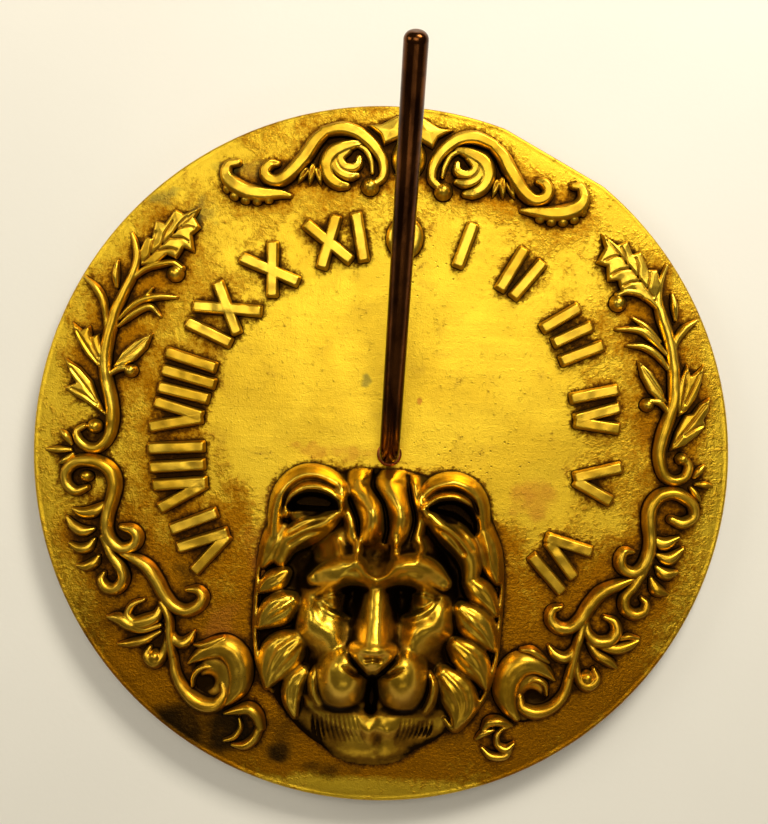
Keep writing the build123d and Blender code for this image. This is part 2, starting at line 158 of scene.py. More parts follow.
class Field:
    """Heights above the dial's face over a rectangle of it."""

    def __init__(self, low, high, step):
        self.step = step
        self.u = np.arange(low[0], high[0] + step, step)
        self.v = np.arange(low[1], high[1] + step, step)
        self.h = np.full((len(self.v), len(self.u)), ROOT)

    def window(self, points, reach):
        """The part of the grid within reach of some points, and its coordinates."""
        points = np.atleast_2d(np.array(points, float))
        u0, u1 = np.searchsorted(self.u, [points[:, 0].min() - reach, points[:, 0].max() + reach])
        v0, v1 = np.searchsorted(self.v, [points[:, 1].min() - reach, points[:, 1].max() + reach])
        part = (slice(v0, v1), slice(u0, u1))
        return part, *np.meshgrid(self.u[u0:u1], self.v[v0:v1])

    def unite(self, part, heights, soft):
        self.h[part] = smooth_max(self.h[part], heights, soft)

    def stroke(self, points, height=None, shoulder=0.9, soft=0.3, base=0.0):
        """A strap through (u, v, width) points, or (u, v, width, height) points.

        The shoulder is the share of the half width over which the flank rises from the base.
        """
        if height is not None:
            widest = max(p[2] for p in points)
            points = [(*p, height * (THIN_SHARE + (1 - THIN_SHARE) * p[2] / widest))
                      for p in points]
        path = smooth_curve(points)
        part, u, v = self.window(path, path[:, 2].max() / 2 + 1.5)
        best = np.full(u.shape, -1e9)
        half, tall = np.ones(u.shape), np.zeros(u.shape)
        for pu, pv, width, h in path:
            edge = width / 2 - np.hypot(u - pu, v - pv)
            better = edge > best
            best = np.where(better, edge, best)
            half = np.where(better, width / 2, half)
            tall = np.where(better, h, tall)
        rise = profile(best, np.maximum(tall - base, 0.5), half * shoulder)
        if base:
            rise = np.where(best < 0, 12 * best, rise)
        self.unite(part, base + rise, soft)

    def bar(self, start, end, width, height, shoulder):
        """A straight flat-topped stroke with square ends."""
        a, b = np.array(start, float), np.array(end, float)
        part, u, v = self.window([a, b], width)
        along = (b - a) / np.hypot(*(b - a))
        s = (u - a[0]) * along[0] + (v - a[1]) * along[1]
        t = np.abs((v - a[1]) * along[0] - (u - a[0]) * along[1])
        ends = np.minimum(s, np.hypot(*(b - a)) - s) + width * 0.1
        sides = width / 2 - t
        corner = width / 2
        powers = np.abs(corner - sides) ** SQUARENESS + np.abs(corner - ends) ** SQUARENESS
        edge = np.where((sides < corner) & (ends < corner), corner - powers ** (1 / SQUARENESS),
                        np.minimum(sides, ends))
        self.unite(part, profile(edge, height, shoulder), 0.15)

    def dome(self, centre, radii, height, power, soft=0.3, base=0.0):
        """A rounded boss on an ellipse; a higher power makes it fuller."""
        part, u, v = self.window([centre], max(radii) * 1.3 + 1)
        r = np.hypot((u - centre[0]) / radii[0], (v - centre[1]) / radii[1])
        rise = np.where(r < 1, 1 - r**power, -power * (r - 1))
        self.unite(part, base + (height - base) * rise, soft)

    def leaf(self, base, tip, width, height):
        """A small pointed leaf with a sunk midrib."""
        a, b = np.array(base, float), np.array(tip, float)
        length = np.hypot(*(b - a))
        part, u, v = self.window([a, b], width)
        along = (b - a) / length
        s = ((u - a[0]) * along[0] + (v - a[1]) * along[1]) / length
        t = (v - a[1]) * along[0] - (u - a[0]) * along[1]
        inside = np.clip(s, 0, 1)
        half = width / 2 * np.sin(math.pi * inside ** (math.log(0.5) / math.log(LEAF_WIDEST))) ** 0.8
        edge = np.minimum((half - np.abs(t)) * 0.85, np.minimum(s, 1 - s) * length)
        rib = np.exp(-((t / 0.42) ** 2)) * (1 - inside) ** 0.3
        body = profile(edge, height, width * 0.3) - np.where(edge > 0, 0.38 * height * rib, 0)
        self.unite(part, body, 0.2)

    def blade(self, outline, height, veins=()):
        """A leaf with a lobed outline: a low cushion with its veins engraved."""
        p = np.array(outline, float)
        part, u, v = self.window(p, 2)
        away = np.full(u.shape, 1e9)
        crossings = np.zeros(u.shape, int)
        for (ax, ay), (bx, by) in zip(p, np.roll(p, -1, axis=0)):
            length2 = (bx - ax) ** 2 + (by - ay) ** 2
            t = np.clip(((u - ax) * (bx - ax) + (v - ay) * (by - ay)) / length2, 0, 1)
            away = np.minimum(away, np.hypot(u - ax - t * (bx - ax), v - ay - t * (by - ay)))
            straddles = (ay > v) != (by > v)
            rise = by - ay if by != ay else 1e-9
            crossings += straddles & (u < (bx - ax) * (v - ay) / rise + ax)
        edge = np.where(crossings % 2 == 1, away, -away) + 0.35
        crown = 1 + 0.18 * np.clip(edge / 4, 0, 1)
        self.unite(part, profile(edge, height, 1.1) * np.where(edge > 0, crown, 1), 0.2)
        for line in veins:
            self.groove(line, 0.8, 0.24 * height)

    def groove(self, points, width, depth):
        """A soft channel cut along a line of (u, v) points."""
        path = smooth_curve(points)
        part, u, v = self.window(path, width * 1.5)
        away = np.min(np.hypot(u[..., None] - path[:, 0], v[..., None] - path[:, 1]), axis=2)
        cut = depth * np.exp(-((away / (width / 2)) ** 2))
        self.h[part] = np.where(self.h[part] > 0, np.maximum(self.h[part] - cut, LEAST_HEIGHT), self.h[part])

    def swell(self, centre, radii, amount):
        """A soft bump, or a dent where the amount is negative."""
        part, u, v = self.window([centre], max(radii) * 2.6)
        r2 = ((u - centre[0]) / radii[0]) ** 2 + ((v - centre[1]) / radii[1]) ** 2
        old = self.h[part]
        self.h[part] = np.where(old > 0, np.maximum(old + amount * np.exp(-r2), LEAST_HEIGHT), old)

    def ridge(self, points):
        """Adds a ridge along (u, v, width, rise) points, or cuts a channel where the rise is negative."""
        path = smooth_curve(points)
        part, u, v = self.window(path, path[:, 2].max() / 2 + 1)
        best = np.zeros(u.shape)
        rise = np.zeros(u.shape)
        for pu, pv, width, h in path:
            inside = 1 - np.hypot(u - pu, v - pv) / (width / 2)
            better = inside > best
            best = np.where(better, inside, best)
            rise = np.where(better, h, rise)
        old = self.h[part]
        self.h[part] = np.where(old > 0, np.maximum(old + rise * (1 - (1 - best) ** 2), 0.2), old)

    def roughen(self, amount, cell, seed):
        """Slight unevenness, as hand finishing leaves."""
        u, v = np.meshgrid(self.u, self.v)
        self.h = np.where(self.h > 0.3, self.h + amount * noise(u, v, cell, seed), self.h)


# ---------------------------------------------------------------- meshes
def low_relief_place(u, v, h):
    """Where a point of the low relief's drawing lies on the plate."""
    return (SHRINK_CENTRE[0] + (u - SHRINK_CENTRE[0]) * SHRINK,
            SHRINK_CENTRE[1] + (v - SHRINK_CENTRE[1]) * SHRINK)


def lion_place(u, v, h):
    """Where a point of the lion lies: its high parts are drawn in, by its casting draft."""
    shrink = LION_SHRINK * (1 - np.maximum(h, 0) / LION_DRAFT)
    return (SHRINK_CENTRE[0] + (u - SHRINK_CENTRE[0]) * shrink,
            SHRINK_CENTRE[1] + (v - SHRINK_CENTRE[1]) * shrink)


def new_mesh(name, vertices, faces, attributes):
    """A mesh object in metres from vertices in millimetres and lists of equal-sized faces."""
    mesh = bpy.data.meshes.new(name)
    sizes = np.concatenate([np.full(len(f), f.shape[1]) for f in faces])
    corners = np.concatenate([f.ravel() for f in faces])
    mesh.vertices.add(len(vertices))
    mesh.vertices.foreach_set("co", (vertices * MM).astype(np.float32).ravel())
    mesh.loops.add(len(corners))
    mesh.loops.foreach_set("vertex_index", corners.astype(np.int32))
    mesh.polygons.add(len(sizes))
    starts = np.concatenate([[0], np.cumsum(sizes)[:-1]])
    mesh.polygons.foreach_set("loop_start", starts.astype(np.int32))
    mesh.polygons.foreach_set("use_smooth", np.ones(len(sizes), bool))
    for key, values in attributes.items():
        layer = mesh.attributes.new(key, "FLOAT", "POINT")
        layer.data.foreach_set("value", values.astype(np.float32))
    mesh.update(calc_edges=True)
    mesh.validate()
    obj = bpy.data.objects.new(name, mesh)
    bpy.context.scene.collection.objects.link(obj)
    return obj


def cavity_of(height, step, depth):
    """How sunk each point is among its neighbours, from -1 on a crest to 1 in a cleft."""
    ground = np.maximum(height, 0)
    fine = (blur(ground, 0.7 / step) - ground) / (0.45 * depth)
    broad = (blur(ground, 2.4 / step) - ground) / (1.6 * depth)
    # The broad valley term darkens wide valleys between masses: painted shade.
    valley = (blur(ground, 6.0 / step) - ground - depth) / (3.2 * depth)
    sunk = 0.5 * np.clip(fine, -1, 1) + 0.7 * np.clip(broad, -1, 1) + 0.8 * np.clip(valley, 0, 1)
    return np.clip(sunk, -1, 1.3)


def mesh_from_field(name, field, place, depth, shade_light_and_patina):
    """One closed mesh: the field's surface, walls round it, and a flat root."""
    h = np.maximum(field.h, ROOT)
    proud = h > ROOT + 1e-6
    quad = proud[:-1, :-1] | proud[1:, :-1] | proud[:-1, 1:] | proud[1:, 1:]
    rows, cols = np.nonzero(quad)
    width = h.shape[1]
    index = rows * width + cols
    corners = np.stack([index, index + 1, index + width + 1, index + width], axis=1)
    used, compact = np.unique(corners, return_inverse=True)
    top = compact.reshape(corners.shape)
    count = len(used)
    u, v = np.meshgrid(field.u, field.v)
    u, v, z = u.ravel()[used], v.ravel()[used], h.ravel()[used]
    x, y = place(u, v, z)
    bottom_z = FACE_Z + ROOT - 0.3
    upper = np.stack([x + DIAL_X, y, z + FACE_Z], axis=1)
    lower = np.stack([x + DIAL_X, y, np.full(count, bottom_z)], axis=1)
    edges = np.concatenate([top[:, [k, (k + 1) % 4]] for k in range(4)])
    keys = edges[:, 0].astype(np.int64) * count + edges[:, 1]
    back = edges[:, 1].astype(np.int64) * count + edges[:, 0]
    rim = edges[~np.isin(keys, back)]
    walls = np.stack([rim[:, 1], rim[:, 0], rim[:, 0] + count, rim[:, 1] + count], axis=1)
    floor = top[:, ::-1] + count
    # The cavity attribute is painted as darkening: patina in the hollows and painted shade there too, with
    # the lion's painted shade, painted light and patina spots added.
    cavity = (cavity_of(field.h, field.step, depth) + shade_light_and_patina).ravel()[used]
    values = {"cavity": np.concatenate([cavity, np.ones(count)])}
    return new_mesh(name, np.vstack([upper, lower]), [top, floor, walls], values)


# ---------------------------------------------------------------- materials
def new_material(name):
    material = bpy.data.materials.new(name)
    material.use_nodes = True
    nodes = material.node_tree.nodes
    nodes.clear()
    shader = nodes.new("ShaderNodeBsdfPrincipled")
    output = nodes.new("ShaderNodeOutputMaterial")
    material.node_tree.links.new(shader.outputs["BSDF"], output.inputs["Surface"])
    return material, Tree(material.node_tree), shader


class Tree:
    """Short ways to add shader nodes."""

    def __init__(self, tree):
        self.tree = tree
        self.place = tree.nodes.new("ShaderNodeTexCoord").outputs["Object"]

    def set(self, socket, value):
        if isinstance(value, bpy.types.NodeSocket):
            self.tree.links.new(value, socket)
        elif hasattr(value, "__len__") and len(value) == 3 and socket.type == "RGBA":
            socket.default_value = (*value, 1)
        else:
            socket.default_value = value

    def node(self, kind, **inputs):
        made = self.tree.nodes.new(kind)
        for key, value in inputs.items():
            self.set(made.inputs[key.replace("_", " ")], value)
        return made

    def math(self, operation, a, b=0.0, c=0.0, clamp=False):
        made = self.tree.nodes.new("ShaderNodeMath")
        made.operation, made.use_clamp = operation, clamp
        for socket, value in zip(made.inputs, (a, b, c)):
            self.set(socket, value)
        return made.outputs[0]

    def mix(self, amount, a, b, blend="MIX"):
        made = self.tree.nodes.new("ShaderNodeMix")
        made.data_type, made.blend_type = "RGBA", blend
        self.set(made.inputs[0], amount)
        self.set(made.inputs[6], a)
        self.set(made.inputs[7], b)
        return made.outputs[2]

    def ramp(self, value, low, high, start=0.0, end=1.0):
        made = self.tree.nodes.new("ShaderNodeMapRange")
        made.interpolation_type = "SMOOTHSTEP"
        for key, number in (("From Min", low), ("From Max", high), ("To Min", start), ("To Max", end)):
            made.inputs[key].default_value = number
        self.set(made.inputs["Value"], value)
        return made.outputs["Result"]

    def noise(self, size_mm, detail=3.0, roughness=0.5, distortion=0.0, stretch=(1, 1, 1)):
        """Noise whose blobs are about this many millimetres wide."""
        mapping = self.tree.nodes.new("ShaderNodeMapping")
        mapping.inputs["Scale"].default_value = stretch
        self.set(mapping.inputs["Vector"], self.place)
        made = self.node("ShaderNodeTexNoise", Scale=1 / (size_mm * MM), Detail=detail,
                         Roughness=roughness, Distortion=distortion)
        self.set(made.inputs["Vector"], mapping.outputs["Vector"])
        return made.outputs["Fac"]

    def attribute(self, name):
        made = self.tree.nodes.new("ShaderNodeAttribute")
        made.attribute_name = name
        return made.outputs["Fac"]

    def along(self, axis):
        """How far a point lies along an axis of the part, in millimetres."""
        split = self.node("ShaderNodeSeparateXYZ", Vector=self.place)
        return self.math("MULTIPLY", split.outputs[axis], 1 / MM)

    def vary(self, value, pattern, amount, clamp=False):
        """A value pushed up and down by a pattern that runs from 0 to 1."""
        return self.math("MULTIPLY_ADD", self.math("SUBTRACT", pattern, 0.5), amount, value, clamp)

    def dress(self, shader, colour, metallic, roughness, height, strength, depth_mm):
        """Connect a surface's colour, roughness and fine bumps to its shader."""
        self.set(shader.inputs["Base Color"], colour)
        shader.inputs["Metallic"].default_value = metallic
        self.set(shader.inputs["Roughness"], roughness)
        bump = self.node("ShaderNodeBump", Strength=strength, Distance=depth_mm * MM, Height=height)
        self.set(shader.inputs["Normal"], bump.outputs["Normal"])


def brass(name, polished, worn, rough, grain, root_dark, shade_low=0.0):
    """Old cast brass: polished where it stands proud, brown to black where it is sunk, as patina in the
    hollows and painted shade there too.

    Its foot is darkened by root_dark, as patina and painted shade where it meets the plate, and its end away
    from noon is darkened by the low-end share, as painted shade where the light falls off.
    """
    material, t, shader = new_material(name)
    broad = t.noise(34, 4, 0.55, 0.6)
    blotch = t.noise(9, 4, 0.6, 0.4)
    speck = t.noise(1.6, 3, 0.65)
    fine = t.noise(0.55, 2, 0.6)
    metal = t.mix(t.ramp(broad, 0.35, 0.68), polished, worn)
    metal = t.mix(t.ramp(blotch, 0.55, 0.8, 0, 0.35), metal, worn, "MULTIPLY")
    # Painted shade: the relief is browned towards its end away from noon, where the light falls off.
    if shade_low:
        low_end_shade = t.ramp(t.along("Y"), 10, -90, 0, shade_low)
        low_end_shade = t.math("MULTIPLY", low_end_shade, t.ramp(blotch, 0.3, 0.6, 0.6, 1))
        metal = t.mix(low_end_shade, metal, (0.40, 0.17, 0.006))
    # Sunk places and the foot turn brown, then near black: patina, and painted shade in the hollows and at
    # the foot.
    sunk = t.vary(t.vary(t.attribute("cavity"), speck, 0.35), blotch, 0.5)
    foot = t.ramp(t.along("Z"), FACE_Z + 0.1, FACE_Z + 1.2, root_dark, 0.0)
    sunk = t.math("ADD", sunk, foot)
    brown = t.ramp(sunk, 0.02, 0.42, 0, 0.85)
    black = t.ramp(sunk, 0.35, 0.85, 0, 0.97)
    colour = t.mix(black, t.mix(brown, metal, (0.20, 0.078, 0.006)), (0.009, 0.004, 0.001))
    roughness = t.vary(t.vary(rough, fine, 0.25), broad, 0.2)
    roughness = t.math("MULTIPLY_ADD", brown, 0.22, roughness, clamp=True)
    relief = t.math("MULTIPLY_ADD", speck, 0.6, fine)
    t.dress(shader, colour, 1.0, roughness, relief, grain, 0.12)
    return material


GOLD = (0.82, 0.53, 0.045)
DEEP_GOLD = (0.60, 0.34, 0.016)
relief_brass = brass("relief_brass", GOLD, DEEP_GOLD, rough=0.34, grain=0.18, root_dark=0.6, shade_low=0.5)
numeral_brass = brass("numeral_brass", GOLD, DEEP_GOLD, rough=0.37, grain=0.25, root_dark=0.6, shade_low=0.45)
lion_brass = brass("lion_brass", (0.80, 0.50, 0.04), (0.58, 0.32, 0.018), rough=0.33, grain=0.2,
                   root_dark=0.5)


def ride(obj, slot, material, *nodes):
    """Put a finished piece in place of its CAD nodes."""
    obj.data.materials.append(material)
    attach(obj, "root")
    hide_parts(*nodes)


# ---------------------------------------------------------------- hour numerals
NUMERAL_WIDTH, NUMERAL_HEIGHT, NUMERAL_SHOULDER = 5.2, 3.2, 1.25
NUMERALS = {
    "numeral_vi_morning": [
        ((-79, -33), (-62, -25.5)), ((-76, -39.5), (-57.5, -32.5)), ((-69.5, -48), (-57.5, -33.5))],
    "numeral_vii_morning": [
        ((-89, -3.5), (-68, -1.5)), ((-88, -10.5), (-67.5, -8)),
        ((-86.5, -17), (-66.5, -14.5)), ((-83.5, -25.5), (-67, -15))],
    "numeral_viii_morning": [
        ((-84.5, 32.5), (-65.5, 27.5)), ((-85.5, 26), (-65.5, 21.5)), ((-86.5, 19.5), (-67.5, 16)),
        ((-87.5, 14), (-69.5, 9.5)), ((-89, 4.5), (-69.5, 9))],
    "numeral_ix_morning": [
        ((-75.5, 50), (-50, 49.5)), ((-67, 59.5), (-58.5, 40.5)), ((-77.5, 44), (-60.5, 37))],
    "numeral_x_morning": [((-59, 69), (-37, 61)), ((-47.5, 75.5), (-46.5, 55))],
    "numeral_xi_morning": [
        ((-36, 83), (-18, 70)), ((-24.5, 86.5), (-29, 66.5)), ((-17.5, 88), (-13.5, 70))],
    "numeral_i_afternoon": [((26, 86.5), (21, 70))],
    "numeral_ii_afternoon": [((45.5, 78.5), (37, 62.5)), ((52.5, 74), (42, 60))],
    "numeral_iii_afternoon": [((67, 58), (53.5, 49)), ((72, 51.5), (58, 44)), ((76.5, 44.5), (61, 37.5))],
    "numeral_iv_afternoon": [
        ((83, 28.5), (65.5, 24)), ((84, 22), (67.5, 16.5)), ((84.5, 14), (67.5, 15.5))],
    "numeral_v_afternoon": [((86, 0), (68.5, -5)), ((83, -13), (69, -6))],
    "numeral_vi_afternoon": [
        ((77, -32), (59.5, -27.5)), ((71, -42), (60.5, -29)), ((67, -47.5), (54.5, -34.5))],
}

fields = []


def add_piece(name, field, slot, material, *nodes, place=low_relief_place, depth=1.0, shade_light_and_patina=0.0):
    """Mesh a drawn field, dress it, and remember it for the plate's patina."""
    fields.append((field, place))
    obj = mesh_from_field(f"{name}_relief", field, place, depth, shade_light_and_patina)
    ride(obj, slot, material, *nodes)


for node, strokes in NUMERALS.items():
    ends = np.array(strokes, float).reshape(-1, 2)
    field = Field(ends.min(0) - 4, ends.max(0) + 4, NUMERAL_STEP)
    for outer, inner in strokes:
        field.bar(outer, inner, NUMERAL_WIDTH, NUMERAL_HEIGHT, NUMERAL_SHOULDER)
    field.roughen(0.18, 3.5, 5)
    add_piece(node, field, "numeral_brass", numeral_brass, node)

# ---------------------------------------------------------------- low relief, both sides
STRAP_WIDEN = 1.16         # straps are drawn narrow and cast this much wider
FLAT_SHOULDER, ROUND_SHOULDER = 0.62, 0.86


def ornament(name, strokes=(), domes=(), leaves=(), blades=(), disc=None, hollow=None, fullness=2.6,
             flat=False):
    """Draw one motif and put it in place of its CAD node.

    Strokes are (height, [(u, v, width), ...]), domes (centre, radii, height),
    leaves (base, tip, width, height) and blades (outline, height, veins).
    A disc (centre, radii, height) with a hollow at a point lies under the rest.
    """
    spots = [p[:2] for _, points in strokes for p in points]
    spots += [centre for centre, _, _ in domes]
    spots += [end for row in leaves for end in row[:2]]
    spots += [corner for outline, _, _ in blades for corner in outline]
    spots = np.array(spots, float)
    field = Field(spots.min(0) - 9, spots.max(0) + 9, FINE)
    if disc:
        middle, radii, height = disc
        field.dome(middle, radii, height, 3.4)
        field.swell(hollow, (4.2, 4.2), -3.2)
    for base, tip, width, height in leaves:
        field.leaf(base, tip, width, height)
    for height, points in strokes:
        widened = [(u, v, width * STRAP_WIDEN) for u, v, width in points]
        field.stroke(widened, height, FLAT_SHOULDER if flat else ROUND_SHOULDER)
    for outline, height, veins in blades:
        field.blade(outline, height, veins)
    for centre, radii, height in domes:
        field.dome(centre, radii, height, fullness)
    field.roughen(0.16, 3.4, 7)
    add_piece(name, field, "relief_brass", relief_brass, name)


ornament("top_scroll_left", flat=True, strokes=[
    (4.4, [(-11, 99, 3), (-8.3, 102, 3.4), (-8.8, 107.5, 4), (-12.5, 112.8, 4.8), (-18, 117, 5.2),
           (-24, 118.6, 5.4), (-31, 117, 4.6)]),
    (4.6, [(-28, 118.6, 3.4), (-33.4, 114, 5.4), (-38, 106.5, 5.8), (-43, 100.5, 5.4), (-47, 97.9, 5),
           (-50.6, 98.6, 4.8), (-51.8, 101.2, 4.6), (-50, 103.8, 4.2), (-47.4, 104.2, 2.6)]),
    (4.2, [(-42, 92.7, 1.8), (-46, 93.2, 3.6), (-52, 92.8, 5.4), (-58, 93.4, 6.2), (-63, 95.6, 6),
           (-66, 99, 4.8), (-65.4, 102.7, 3.8), (-62, 103.8, 2.8)]),
    (4.2, [(-16, 113.6, 1.6), (-21, 112.6, 4.4), (-27, 109.6, 6.2), (-29.3, 105, 6), (-28, 100.5, 5.2),
           (-24.6, 98, 4.4), (-21.4, 97.6, 2.8)]),
    (4.0, [(-26.5, 109, 3), (-26.4, 105, 3.8), (-24.3, 102.2, 4), (-20.8, 101, 3.8), (-17.8, 101.6, 2.4)]),
    (3.8, [(-21.6, 110.6, 3), (-24.2, 107.6, 3.6), (-23, 104.9, 3.8), (-20, 104.2, 3.8),
           (-17.8, 105.5, 3.6), (-17.5, 108, 2.6)]),
    (2.6, [(-20, 113, 1.4), (-15.5, 111.3, 2.2), (-13, 107.3, 2.2), (-12.3, 103, 1.6)]),
], domes=[
    ((-12.8, 97.8), (3.7, 3.7), 4.6), ((-50, 91), (2.3, 2), 2.6), ((-54.2, 90.2), (2.3, 2), 2.8),
    ((-58.4, 90.3), (2.4, 2), 2.8), ((-62.4, 91.6), (2.3, 2.1), 2.8), ((-65.4, 94.2), (2, 2.2), 2.6),
], leaves=[
    ((-35.5, 104), (-40, 97), 3.2, 3.2), ((-34, 106), (-35.3, 96.3), 3.4, 3.6),
    ((-33, 104.5), (-30.8, 96.8), 3, 3.2),
])
ornament("top_scroll_right", flat=True, strokes=[
    (4.4, [(12.5, 99, 3), (9.8, 102, 3.4), (10.3, 107.5, 4), (13.8, 113, 4.8), (19, 117, 5.2),
           (25, 118, 5.4), (32, 115.6, 4.6)]),
    (4.6, [(29, 117.4, 3.4), (34.6, 112.6, 5.4), (39, 105.6, 5.8), (43.2, 99.8, 5.4), (47.6, 96.4, 5),
           (51.4, 97.2, 4.8), (52.8, 100, 4.6), (51.2, 102.8, 4.2), (49, 103.2, 2.6)]),
    (4.2, [(43.5, 92.3, 1.8), (47.5, 92.2, 3.6), (53.3, 91.8, 5.4), (59, 92.4, 6.2), (64, 94.4, 6),
           (66, 98, 4.8), (65, 101.8, 3.8), (62, 102.4, 2.8)]),
    (4.2, [(17, 113.4, 1.6), (22, 112.4, 4.4), (28, 109.6, 6.2), (30.3, 105, 6), (29, 100.5, 5.2),
           (25.6, 97.8, 4.4), (22.4, 97.2, 2.8)]),
    (4.0, [(27.6, 109, 3), (27.6, 105, 3.8), (25.4, 102, 4), (22, 100.8, 3.8), (18.9, 101.4, 2.4)]),
    (3.8, [(22.8, 110.6, 3), (25.4, 107.4, 3.6), (24.2, 104.8, 3.8), (21.2, 104.2, 3.8), (19, 105.4, 3.6),
           (18.8, 108, 2.6)]),
    (2.6, [(21, 113, 1.4), (16.6, 111.2, 2.2), (14.4, 107.2, 2.2), (13.6, 103, 1.6)]),
], domes=[
    ((14.2, 97.6), (3.7, 3.7), 4.6), ((50.6, 89.8), (2.3, 2), 2.6), ((54.8, 89), (2.3, 2), 2.8),
    ((59, 89.1), (2.4, 2), 2.8), ((63, 90.4), (2.3, 2.1), 2.8), ((66, 93.2), (2, 2.2), 2.6),
], leaves=[
    ((37, 103.5), (41, 96), 3.2, 3.2), ((35.4, 105), (36.4, 95.6), 3.4, 3.6),
    ((34.2, 104), (32.4, 96), 3, 3.2),
])
ornament("leaf_spray_left", strokes=[
    (3.8, [(-113, 3.4, 2.4), (-115.6, 1.4, 3), (-114.6, -2, 3.6), (-111, -4.4, 4), (-106.8, -3.8, 4.2),
           (-103.6, 0.5, 4.6), (-102.8, 7, 5.2), (-103.8, 14, 5.2), (-105.8, 21, 5.2), (-106.8, 29, 5.2),
           (-106, 37, 5), (-104, 46, 4.8), (-101, 54, 4), (-98.4, 60, 3.8), (-97, 66, 3.6),
           (-98, 71.5, 2.8), (-99.6, 75.5, 1.4)]),
    (3.4, [(-98, 59, 2), (-93.5, 62.8, 2.8), (-88.5, 64.6, 3), (-83.8, 65.4, 3), (-80.4, 63.6, 2.6)]),
    (3.2, [(-105.5, 22.5, 2.2), (-101.5, 25.2, 2.8), (-98, 25.8, 2.6)]),
    (3.2, [(-106.4, 30, 2.6), (-107, 41, 2.4), (-108.3, 49, 3.2), (-111.5, 54.5, 3.2),
           (-116.2, 58.6, 1.2)]),
    (3.2, [(-102.5, 43.5, 1.6), (-99, 47.5, 2.8), (-94.5, 51, 3.2), (-88.5, 52.7, 3), (-81.7, 52.9, 1.4)]),
    (3.0, [(-94.5, 51, 2), (-92.6, 53.2, 1.8), (-90.8, 55.6, 1.2)]),
    (3.0, [(-102.5, 41, 1.4), (-98.5, 44.8, 2.8), (-94, 48, 3), (-90.8, 48.6, 2.8), (-87.3, 45.4, 1.4)]),
    (3.0, [(-104, 55.4, 1.6), (-104.7, 60, 3.2), (-104.3, 64.8, 1.4)]),
], domes=[
    ((-109, 3.6), (3.3, 3), 4.0), ((-82.6, 61.6), (3.5, 3.5), 4.2), ((-97, 24.8), (3.0, 2.8), 4.0),
], blades=[
    ([(-95.4, 63.6), (-96.2, 69), (-94.2, 74.6), (-92, 74), (-91, 80.8), (-87.4, 79.8), (-84, 85.2),
      (-80.8, 83.6), (-75, 86.2), (-76.6, 82.4), (-74.4, 79), (-77.2, 76), (-76.2, 69.8), (-80, 71),
      (-82.4, 66.8), (-86, 68), (-90, 64.2)], 3.2,
     [[(-94.5, 65), (-87, 72.6), (-77, 84)], [(-92, 68), (-91.6, 72), (-90.6, 76)],
      [(-88, 71.8), (-87, 76), (-84.6, 80.6)], [(-83.6, 76.4), (-82, 79.6), (-79.6, 82.4)],
      [(-89, 69.6), (-85.6, 70.4), (-82.6, 70)], [(-84.6, 74.4), (-81, 74.6), (-78.4, 73.4)],
      [(-81, 78.6), (-78.8, 79), (-76.8, 78.6)]]),
    ([(-103.6, 25.6), (-100.6, 31.4), (-96, 36), (-89.8, 39), (-91.4, 33.4), (-95.6, 28.6),
      (-100, 26)], 3.0,
     [[(-102, 27.2), (-97, 31.6), (-91.4, 37.4)]]),
    ([(-107.8, 24.6), (-113.6, 29.4), (-117.4, 35), (-119.8, 41.6), (-115.6, 38.8), (-113, 40.4),
      (-111.8, 36.6), (-109.4, 37.6), (-107.6, 31)], 3.2,
     [[(-109, 27), (-113.4, 32.6), (-117.4, 38.4)], [(-109, 29), (-111, 33), (-112.6, 37.6)]]),
    ([(-104.8, 7.6), (-111, 11.4), (-116.4, 14), (-121, 17.2), (-116.8, 19.2), (-119.2, 22.6), (-121.4, 28),
      (-115.4, 24.8), (-110.8, 20), (-108.4, 14)], 3.2,
     [[(-106.6, 10), (-112.6, 17.6), (-118.8, 24.6)], [(-108.6, 11.6), (-113, 14.8), (-118, 17)]]),
])
